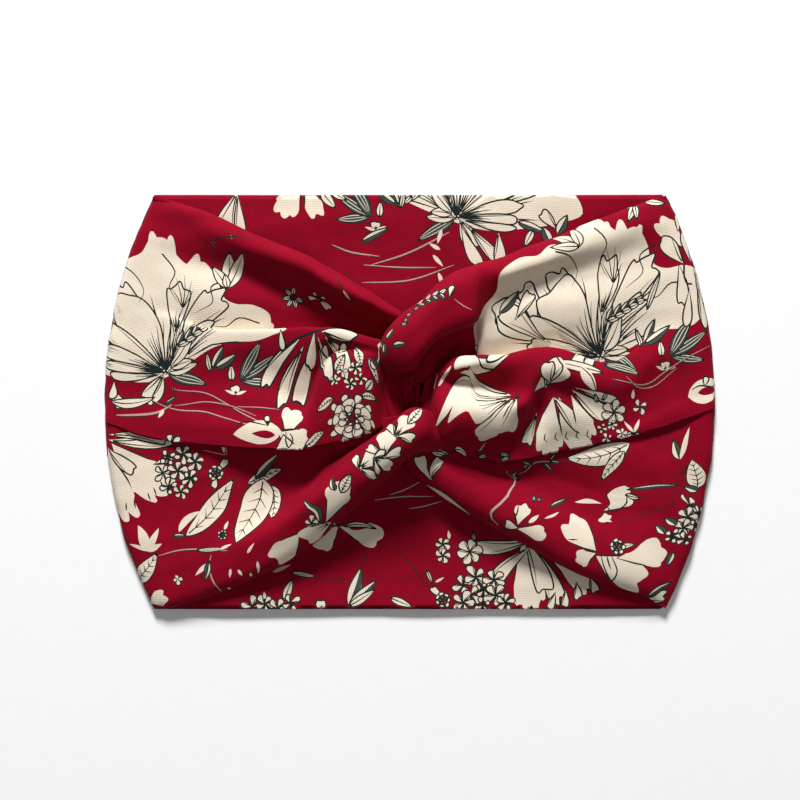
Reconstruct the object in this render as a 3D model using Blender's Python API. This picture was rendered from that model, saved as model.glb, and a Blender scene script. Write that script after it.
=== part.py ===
"""Knotted headband, lying flat: a flat back tube and two interlocked front loops.

Metres, +Z up. The band lies on the plane Z = 0 with its knot up. X runs along the
band's flat length, Y across its width, and the origin is under the middle of the band.

The front is two folded tubes of jersey, each bent into a U and hooked through the other.
The left loop opens to -X and the right loop opens to +X. Each has an upper leg, on the
+Y side, whose lower edge lies over its lower leg. At the top crossing the right loop
lies over the left one, and at the bottom crossing it lies under it.
"""

import math

import bpy
from mathutils import Vector

MM = 0.001

# Flat size of the band
LENGTH = 240 * MM              # side edge to side edge, at the middle of the width
WIDTH = 163 * MM               # top fold to bottom fold
CORNER_X = 100.5 * MM          # the top and bottom edges end here
PANEL_THICKNESS = 1.8 * MM     # two layers of jersey
PANEL_ROUNDING = 0.5 * MM
GAP = 0.3 * MM                 # clearance between pieces that touch on the real band

# Side seams: the allowances of panel and loops, overlocked together inside the opening
SIDE_SEAM_WIDTH = 7 * MM
SIDE_SEAM_INSET = 1.2 * MM
SIDE_SEAM_THICKNESS = 1.6 * MM
SIDE_SEAM_END = 4 * MM         # it stops this far short of the top and bottom folds

# Closing seams: the line of stitches that closes each tube along its hidden face
TUBE_SEAM_WIDTH = 3 * MM
TUBE_SEAM_THICKNESS = 0.4 * MM
TUBE_SEAM_CLEAR_OF_SIDE = 12 * MM

RING_POINTS = 20               # round the section of a loop
RINGS_PER_STATION = 5
SIDE_SEGMENTS = 28             # along each side edge

# Stations of each loop, from the side end of its upper leg, round the bend, to the side
# end of its lower leg. Each is the outer edge (x, y, z), the inner edge (x, y, z) and the
# thickness there, in millimetres. z is the middle of the thickness.
LEFT_STATIONS = (
    ((-100.5, 81.0, 5.2), (-119.6, -6.0, 7.8), 1.8),
    ((-70.0, 69.0, 9.0), (-84.0, -12.0, 12.4), 2.4),
    ((-34.0, 52.0, 12.0), (-42.0, -15.0, 19.0), 4.0),
    ((-16.0, 42.0, 13.0), (-21.0, 4.0, 14.5), 6.0),
    ((-2.0, 35.0, 13.4), (-7.0, 14.0, 13.2), 7.0),
    ((20.0, 28.0, 13.2), (8.0, 12.5, 13.2), 6.5),
    ((33.5, 12.0, 13.4), (14.0, 8.5, 13.2), 6.5),
    ((33.0, -4.0, 15.0), (14.0, 2.0, 15.0), 6.5),
    ((20.0, -17.0, 18.8), (8.0, -3.5, 18.8), 6.5),
    ((-1.0, -24.5, 22.6), (-5.0, -1.5, 22.6), 7.0),
    ((-13.0, -34.0, 21.5), (-17.0, -9.0, 21.0), 6.5),
    ((-29.0, -48.0, 16.5), (-33.0, -13.0, 15.0), 5.0),
    ((-50.0, -64.5, 10.5), (-54.0, -8.0, 10.0), 3.0),
    ((-72.0, -75.0, 8.0), (-84.0, -3.0, 7.6), 2.4),
    ((-100.5, -81.0, 5.2), (-119.7, 4.0, 5.2), 1.8),
)
RIGHT_STATIONS = (
    ((100.5, 81.0, 5.2), (119.9, -3.0, 7.8), 1.8),
    ((74.0, 72.0, 9.5), (80.0, -15.0, 12.8), 2.4),
    ((44.0, 57.0, 16.5), (50.0, -21.0, 20.0), 3.5),
    ((20.0, 43.0, 22.0), (23.0, -16.0, 26.2), 4.5),
    ((-2.0, 36.0, 23.6), (9.0, 6.0, 25.4), 6.5),
    ((-9.5, 16.0, 22.5), (6.5, 5.0, 21.5), 6.0),
    ((-10.5, 4.0, 14.5), (5.5, 2.5, 16.0), 6.0),
    ((-9.5, -12.0, 13.2), (8.0, -1.0, 13.2), 6.0),
    ((-2.0, -25.0, 12.6), (13.0, -11.0, 12.2), 5.0),
    ((19.0, -41.0, 12.0), (31.0, -17.0, 11.4), 4.0),
    ((43.0, -56.0, 10.6), (54.0, -12.0, 11.6), 3.0),
    ((74.0, -73.0, 8.0), (86.0, -5.0, 7.6), 2.4),
    ((100.5, -81.0, 5.2), (119.8, 6.0, 5.2), 1.8),
)

CRIMSON = (0.42, 0.012, 0.045, 1.0)
DARK_CRIMSON = (0.20, 0.006, 0.025, 1.0)


def clear_scene():
    for item in list(bpy.data.objects):
        bpy.data.objects.remove(item, do_unlink=True)


def fabric(name, color, roughness):
    material = bpy.data.materials.new(name)
    material.use_nodes = True
    shader = material.node_tree.nodes["Principled BSDF"]
    shader.inputs["Base Color"].default_value = color
    shader.inputs["Roughness"].default_value = roughness
    shader.inputs["Metallic"].default_value = 0.0
    return material


def add_mesh(name, points, faces, material):
    mesh = bpy.data.meshes.new(name)
    mesh.from_pydata(points, [], faces)
    mesh.update()
    mesh.materials.append(material)
    piece = bpy.data.objects.new(name, mesh)
    bpy.context.collection.objects.link(piece)
    return piece


def side_x(y):
    """Half length of the band at height y: an arc through the corners and the middle."""
    half_chord = WIDTH / 2
    rise = LENGTH / 2 - CORNER_X
    radius = (half_chord ** 2 + rise ** 2) / (2 * rise)
    return LENGTH / 2 - radius + math.sqrt(radius ** 2 - y ** 2)


def spline(values, position):
    """Catmull-Rom curve through a list of vectors, position from 0 to len - 1."""
    last = len(values) - 1
    index = min(int(position), last - 1)
    t = position - index
    before = values[max(index - 1, 0)]
    start = values[index]
    end = values[index + 1]
    after = values[min(index + 2, last)]
    return 0.5 * ((2 * start) + (end - before) * t
                  + (2 * before - 5 * start + 4 * end - after) * t ** 2
                  + (3 * start - before - 3 * end + after) * t ** 3)


def loop_frame(stations, position):
    """Outer edge, inner edge and thickness of a loop at one place along it, in metres."""
    outer = spline([Vector(station[0]) for station in stations], position) * MM
    inner = spline([Vector(station[1]) for station in stations], position) * MM
    thick = spline([Vector((station[2], 0, 0)) for station in stations], position).x * MM
    return outer, inner, thick


def loop_point(stations, position, across, height):
    """A point on a loop: across runs from 0 at the outer edge to 1 at the inner edge.

    height runs from -1 on the under face to 1 on the upper one. Close to the band's side
    edges the straight section bows out to follow the rounded outline.
    """
    outer, inner, thick = loop_frame(stations, position)
    point = outer.lerp(inner, across)
    last = len(stations) - 1
    nearness = max(0.0, 1.0 - min(position, last - position))
    bow = side_x(point.y) - abs(point.x) if nearness > 0 else 0.0
    point.x += math.copysign(max(bow, 0.0) * nearness ** 2, point.x)
    point.z += height * thick / 2
    return point


def loop_ring(stations, position):
    """The closed section of a loop: flat faces with rounded edges."""
    ring = []
    for step in range(RING_POINTS):
        angle = 2 * math.pi * (step + 0.5) / RING_POINTS
        across = 0.5 - 0.5 * math.copysign(abs(math.cos(angle)) ** 0.9, math.cos(angle))
        height = math.copysign(abs(math.sin(angle)) ** 0.35, math.sin(angle))
        ring.append(loop_point(stations, position, across, height))
    return ring


def skin(rings):
    """Faces of a tube through equal rings, closed by a flat fan at each end."""
    count = len(rings[0])
    points = [point for ring in rings for point in ring]
    faces = []
    for row in range(len(rings) - 1):
        for column in range(count):
            beside = (column + 1) % count
            low = row * count
            faces.append((low + column, low + beside, low + count + beside, low + count + column))
    faces.append(tuple(reversed(range(count))))
    faces.append(tuple(range(len(points) - count, len(points))))
    return points, faces


def outward(points, faces):
    """The same faces, turned over if the solid is inside out."""
    volume = 0.0
    for face in faces:
        first = points[face[0]]
        for one, two in zip(face[1:-1], face[2:]):
            volume += first.dot(points[one].cross(points[two]))
    return faces if volume > 0 else [tuple(reversed(face)) for face in faces]


def sweep(name, rings, material):
    points, faces = skin(rings)
    return add_mesh(name, points, outward(points, faces), material)


def make_loop(name, stations, material):
    count = (len(stations) - 1) * RINGS_PER_STATION
    rings = [loop_ring(stations, step / RINGS_PER_STATION) for step in range(count + 1)]
    return sweep(name, rings, material)


def make_loop_seam(name, stations, material):
    """The stitched line under the middle of a loop, clear of the side seams."""
    last = len(stations) - 1
    samples = last * RINGS_PER_STATION
    rings = []
    for step in range(samples + 1):
        position = last * step / samples
        middle = loop_point(stations, position, 0.5, 0)
        if side_x(middle.y) - abs(middle.x) < TUBE_SEAM_CLEAR_OF_SIDE:
            continue
        outer, inner, thick = loop_frame(stations, position)
        direction = (inner - outer).normalized()
        top = middle - Vector((0, 0, thick / 2 + GAP))
        bottom = top - Vector((0, 0, TUBE_SEAM_THICKNESS))
        half = direction * TUBE_SEAM_WIDTH / 2
        rings.append([top - half, top + half, bottom + half, bottom - half])
    return sweep(name, rings, material)


def make_back_panel(material):
    """A barrel-shaped flat tube: straight folded top and bottom edges, bowed sides."""
    outline = []
    for side in (1, -1):
        for step in range(SIDE_SEGMENTS + 1):
            y = side * WIDTH * (step / SIDE_SEGMENTS - 0.5)
            outline.append((side * side_x(y), y))
    count = len(outline)
    points = [Vector((x, y, 0)) for x, y in outline]
    points += [Vector((x, y, PANEL_THICKNESS)) for x, y in outline]
    faces = [tuple(range(count - 1, -1, -1)), tuple(range(count, 2 * count))]
    for index in range(count):
        beside = (index + 1) % count
        faces.append((index, beside, count + beside, count + index))
    panel = add_mesh("back_panel", points, outward(points, faces), material)
    rounding = panel.modifiers.new("folded edges", "BEVEL")
    rounding.width = PANEL_ROUNDING
    rounding.segments = 2
    rounding.limit_method = "ANGLE"
    rounding.angle_limit = math.radians(60)
    return panel


def make_side_seam(name, side, material):
    """The overlocked allowances that run down one side edge, between front and back."""
    low = PANEL_THICKNESS + GAP
    high = low + SIDE_SEAM_THICKNESS
    reach = WIDTH / 2 - SIDE_SEAM_END
    rings = []
    for step in range(SIDE_SEGMENTS + 1):
        y = reach * (2 * step / SIDE_SEGMENTS - 1)
        outer_x = side * (side_x(y) - SIDE_SEAM_INSET)
        inner_x = side * (side_x(y) - SIDE_SEAM_INSET - SIDE_SEAM_WIDTH)
        rings.append([Vector((outer_x, y, low)), Vector((inner_x, y, low)),
                      Vector((inner_x, y, high)), Vector((outer_x, y, high))])
    return sweep(name, rings, material)


def make_back_panel_seam(material):
    """The stitched line that closes the back tube, along the face towards the head."""
    low = PANEL_THICKNESS + GAP
    high = low + TUBE_SEAM_THICKNESS
    half = TUBE_SEAM_WIDTH / 2
    reach = LENGTH / 2 - TUBE_SEAM_CLEAR_OF_SIDE
    rings = []
    for x in (-reach, reach):
        rings.append([Vector((x, -half, low)), Vector((x, half, low)),
                      Vector((x, half, high)), Vector((x, -half, high))])
    return sweep("back_panel_seam", rings, material)


def add_body(name, pieces):
    """An empty at the origin, on the slide's axis, that carries the pieces of one body."""
    body = bpy.data.objects.new(name, None)
    bpy.context.collection.objects.link(body)
    for piece in pieces:
        piece.parent = body


def main():
    clear_scene()
    jersey = fabric("printed_jersey", CRIMSON, 0.85)
    thread = fabric("seam_thread", DARK_CRIMSON, 0.9)
    back = [
        make_back_panel(jersey),
        make_back_panel_seam(thread),
        make_side_seam("left_side_seam", -1, thread),
        make_side_seam("right_side_seam", 1, thread),
    ]
    front = [
        make_loop("left_loop", LEFT_STATIONS, jersey),
        make_loop("right_loop", RIGHT_STATIONS, jersey),
        make_loop_seam("left_loop_seam", LEFT_STATIONS, thread),
        make_loop_seam("right_loop_seam", RIGHT_STATIONS, thread),
    ]
    add_body("back_body", back)
    add_body("front_body", front)


main()
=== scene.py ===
"""Knotted headband: the looks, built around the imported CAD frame.

Each piece of jersey starts as a net of points, which is refined into a fine grid and given
flat coordinates, as if it were laid out on a table. The print is drawn in those coordinates
and cut into real faces, which are then lifted onto the folded grid.
"""
import math
import random

import bmesh
import bpy
import numpy as np
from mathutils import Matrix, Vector, noise
from mathutils.bvhtree import BVHTree
from mathutils.geometry import delaunay_2d_cdt


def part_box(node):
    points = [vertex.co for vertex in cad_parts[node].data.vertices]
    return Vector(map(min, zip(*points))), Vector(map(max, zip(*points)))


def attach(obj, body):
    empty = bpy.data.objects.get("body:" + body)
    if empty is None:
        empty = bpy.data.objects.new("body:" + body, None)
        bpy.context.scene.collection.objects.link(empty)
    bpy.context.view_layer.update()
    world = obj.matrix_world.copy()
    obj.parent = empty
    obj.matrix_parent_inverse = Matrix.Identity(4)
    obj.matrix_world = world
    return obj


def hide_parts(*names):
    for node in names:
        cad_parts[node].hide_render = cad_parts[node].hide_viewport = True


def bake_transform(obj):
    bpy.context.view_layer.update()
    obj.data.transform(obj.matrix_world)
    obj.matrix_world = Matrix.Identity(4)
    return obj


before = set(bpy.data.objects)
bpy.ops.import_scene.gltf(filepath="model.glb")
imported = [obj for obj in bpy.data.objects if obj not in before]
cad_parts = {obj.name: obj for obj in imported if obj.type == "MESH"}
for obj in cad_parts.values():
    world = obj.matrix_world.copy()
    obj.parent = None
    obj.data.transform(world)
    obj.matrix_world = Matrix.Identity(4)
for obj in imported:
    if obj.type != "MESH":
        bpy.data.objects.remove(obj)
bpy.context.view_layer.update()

MM = 0.001
LOWEST = 0.05      # mm above the table for the back cloth's lower face
UV_MM = 100.0      # mm of cloth in one unit of its UV map
EDGE_LEVEL = 2.4   # mm above the table where the cloths meet in a side seam
GRID_STEP = 1.6    # mm between neighbouring points of a loop's grid
HEM_LEVEL = 2.6    # mm above the table that a loop's hem turns down towards
BACK_THICKNESS = 1.6       # mm of the flattened back tube
LOOP_THICKNESS = 1.5       # mm of a flattened loop, where it isn't bunched up
BUNCHED = 0.8      # mm between grid columns, below which the cloth counts as bunched up
SMALL = 1e-9       # keeps divisions by a length away from zero

# ---------------------------------------------------------------- the band's outline
PANEL_LOW, PANEL_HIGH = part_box("back_panel")
HALF_LENGTH = PANEL_HIGH[0]
HALF_WIDTH = PANEL_HIGH[1]
CORNER_X = 100.5 * MM


def side_x(y):
    """Half length of the band at height y: an arc through the corners and the middle."""
    rise = HALF_LENGTH - CORNER_X
    radius = (HALF_WIDTH ** 2 + rise ** 2) / (2 * rise)
    return HALF_LENGTH - radius + np.sqrt(radius ** 2 - np.square(y))


# ------------------------------------------------------------------ nets of the loops
# (x, y, z) in millimetres of the cloth's upper face, station by station
def side_station(sign, heights, levels):
    """A station of points on one side edge of the band."""
    return [(sign * 1000 * float(side_x(y * MM)), y, z) for y, z in zip(heights, levels)]


LEFT = [
    side_station(-1, (81.3, 77, 70, 58, 47, 37, 33, 24, 14, 4, -3, -8),
                 (2.6, 3.4, 3.5, 3.4, 3.5, 3.5, 3.6, 3.7, 3.8, 4.2, 5, 5.2)),
    [(-88, 77.5, 5), (-88, 74.5, 8), (-89, 67, 6.8), (-92, 57, 5.2), (-95, 46, 6.2), (-97, 37, 6),
     (-98, 33, 6.6), (-100, 23, 6.6), (-102, 12, 6.2), (-103, 2, 6.6), (-103, -6, 7.2), (-103, -14, 7)],
    [(-77, 73.5, 6), (-77, 72.2, 8.8), (-78, 66, 10.8), (-79, 54.5, 5.6), (-80, 42, 8), (-80, 28, 6.2),
     (-80, 29, 9.4), (-80, 22, 9.6), (-81, 10, 8), (-81, 0, 8.8), (-81, -9, 10.2), (-80, -17, 9.4)],
    [(-60, 65.3, 8), (-60, 64, 11.6), (-60, 58.5, 14), (-60, 49.5, 5.6), (-60, 38.5, 7.4),
     (-60, 26.8, 5.4), (-60, 28.4, 11.4), (-60, 23, 11.8), (-60, 11, 8.6), (-60, 0, 10.6),
     (-60, -10, 13.4), (-60, -18.2, 13)],
    [(-42, 58.3, 10), (-42, 57, 14.2), (-42, 52, 16.8), (-42, 42, 5.8), (-42, 35.5, 5.2),
     (-42, 27.4, 5.2), (-42, 29.3, 13.2), (-42, 24.5, 14.4), (-42, 1.5, 8), (-42, -6, 13.4),
     (-42, -12, 15), (-42, -18.5, 14.6)],
    [(-35, 54.6, 10.8), (-35, 53.2, 15.2), (-35, 47.8, 18), (-35, 38.8, 5.8), (-35, 33.8, 5.2),
     (-35, 27.4, 5.4), (-35, 29.2, 14.6), (-35, 24.6, 15.8), (-35, 14, 9.2), (-35, 9, 16),
     (-35, -7, 15.6), (-35, -17.2, 12.6)],
    [(-28, 50.8, 12), (-28, 49.2, 16.6), (-28, 43.6, 19.2), (-28, 35.5, 6.2), (-28, 32, 5.6),
     (-28, 27.2, 6), (-28, 28.9, 15.6), (-28, 25, 17.2), (-28, 20.4, 12.8), (-28, 17.2, 17.4),
     (-28, 0, 17.2), (-28, -16, 14.2)],
    [(-15, 43.2, 12.5), (-15, 41.8, 16.8), (-15, 37.4, 19.2), (-15, 30.8, 7), (-15, 28, 6.2),
     (-15, 23.8, 7), (-15, 25.3, 16.4), (-15, 22.5, 17.8), (-15, 19.5, 17.2), (-15, 16, 18),
     (-15, 2, 17.6), (-15, -12, 15)],
    [(-4, 36, 11.5), (-4, 33.8, 16.5), (-4, 30.5, 14.5), (-4, 28, 10.5), (-4, 26, 9.5), (-4, 24, 9.5),
     (-4, 22.5, 13), (-4, 20, 13), (-5, 17, 11), (-6.5, 12.5, 7.2), (-7.5, 3, 6.6), (-7, -7, 9)],
    [(6, 31, 5), (6, 30, 7), (6, 28, 6.6), (6, 26, 5.2), (6, 24.5, 4.8), (5, 23, 4.8), (4, 21, 4.4),
     (4, 19, 4.4), (3.5, 17, 4.2), (3, 14.5, 3.8), (2.5, 11, 3.7), (1.5, 8, 3.7)],
    [(20, 26, 4.6), (20, 25, 6.4), (20, 23.5, 6), (20, 22.5, 5), (20, 21, 4.8), (20, 20, 4.8),
     (19, 18.5, 5.8), (18, 17, 6.4), (17, 15.5, 6), (16, 13.5, 5.2), (15, 12, 5), (14, 10, 4.8)],
    [(33, 14, 6), (32, 13.5, 8.5), (31, 13, 8), (30, 12.5, 7), (29, 12, 6.5), (28, 11.5, 6.5),
     (27, 11, 8), (26, 10.5, 8.5), (25, 10, 8), (24, 9.5, 7.5), (22.5, 9, 7), (21, 8.5, 6.5)],
    [(34, -3, 7), (33, -2.8, 9), (32, -2.5, 8.8), (31, -2.2, 8), (30, -2, 7.5), (29, -1.6, 7.5),
     (28, -1.2, 8.5), (27, -0.8, 9), (26, -0.4, 8.8), (25, 0, 8), (23.5, 0.5, 7.5), (22, 1, 7)],
    [(22, -15, 12.5), (21.5, -14, 14), (21, -13, 14.2), (20.5, -12, 13.5), (20, -11, 13),
     (19.5, -10, 13), (19, -9, 13.5), (18.5, -8, 13.8), (18, -7, 13.5), (17.5, -6, 13), (17, -5, 12.5),
     (16.5, -3.5, 12)],
    [(9, -19, 16), (10, -16, 18.5), (11, -12, 19), (10.5, -7, 18), (9.5, -4.5, 16), (9, -6, 15),
     (9, -9, 15), (9, -12, 15), (9, -14, 15), (8.5, -12, 14.5), (8, -9, 14.5), (7.5, -6, 14.5)],
    [(1.5, -20, 19), (3, -16.5, 24), (4.5, -10.5, 26), (3.5, -4, 24.5), (0.5, -2, 20.5), (1, -4.5, 18),
     (2, -8, 17.5), (3, -12, 17.5), (2, -15, 17.5), (1, -12, 17), (0, -8, 17), (-1, -5, 17)],
    [(-5.5, -26.3, 17), (-6, -23, 22.5), (-7.5, -17.5, 24.5), (-9, -11.5, 22.5), (-9.5, -9.8, 18),
     (-9, -12, 16), (-8, -16, 15.5), (-7.5, -19, 15.5), (-8, -18, 15), (-10, -14, 13), (-12, -10, 11.5),
     (-13, -6, 11)],
    [(-14.5, -34.8, 13.5), (-16.5, -31.8, 19), (-19.5, -27.5, 21), (-24, -24, 19), (-26.5, -22.5, 12),
     (-27, -19.5, 7.6), (-26.5, -16.5, 7.6), (-26, -13.5, 9), (-25, -11, 9), (-24, -8, 9), (-23, -5, 9),
     (-22, -2, 9)],
    [(-25.5, -45.2, 10.5), (-28, -42.5, 15.5), (-31.5, -39, 17.5), (-37, -35.5, 17), (-39.4, -32, 6.4),
     (-41.5, -26, 4.6), (-42, -20, 4.8), (-42, -16, 5.6), (-42, -12, 6.4), (-41, -8, 7.4),
     (-41, -5, 7.4), (-40, -2, 7.4)],
    [(-46.5, -62, 7.5), (-49.5, -60, 11), (-53, -56.5, 12.2), (-56.5, -51, 12.2), (-58.3, -46.5, 6.4),
     (-60, -39, 4.6), (-61, -32, 4.4), (-62, -25, 4.8), (-62, -19, 5.8), (-61, -13, 7.1), (-60, -8, 7),
     (-59, -3, 6.9)],
    [(-74.5, -75, 4.8), (-75, -72.2, 7.6), (-76.5, -67, 8.4), (-78, -60, 7.8), (-79, -52, 6.6),
     (-80, -44, 5.6), (-81, -36, 5.2), (-81, -28, 5.4), (-81, -21, 6), (-80, -14, 5.8), (-79, -8, 5.6),
     (-78, -2, 5.4)],
    [(-93, -80.6, 3.6), (-93.5, -78, 5.4), (-95, -72, 5.9), (-97, -64, 5.7), (-99, -56, 5.4),
     (-100, -47, 5.2), (-101.5, -38, 5.1), (-102.5, -29, 5.1), (-103, -20, 4.9), (-103, -12, 4.7),
     (-103, -5, 4.5), (-102, 2, 4.3)],
    side_station(-1, (-81.3, -79, -74, -66, -57, -48, -39, -30, -21, -12, -5, 3),
                 (2.6, 3.2, 3.3, 3.3, 3.3, 3.3, 3.3, 3.3, 3.3, 3.2, 3.1, 3)),
]

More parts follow.
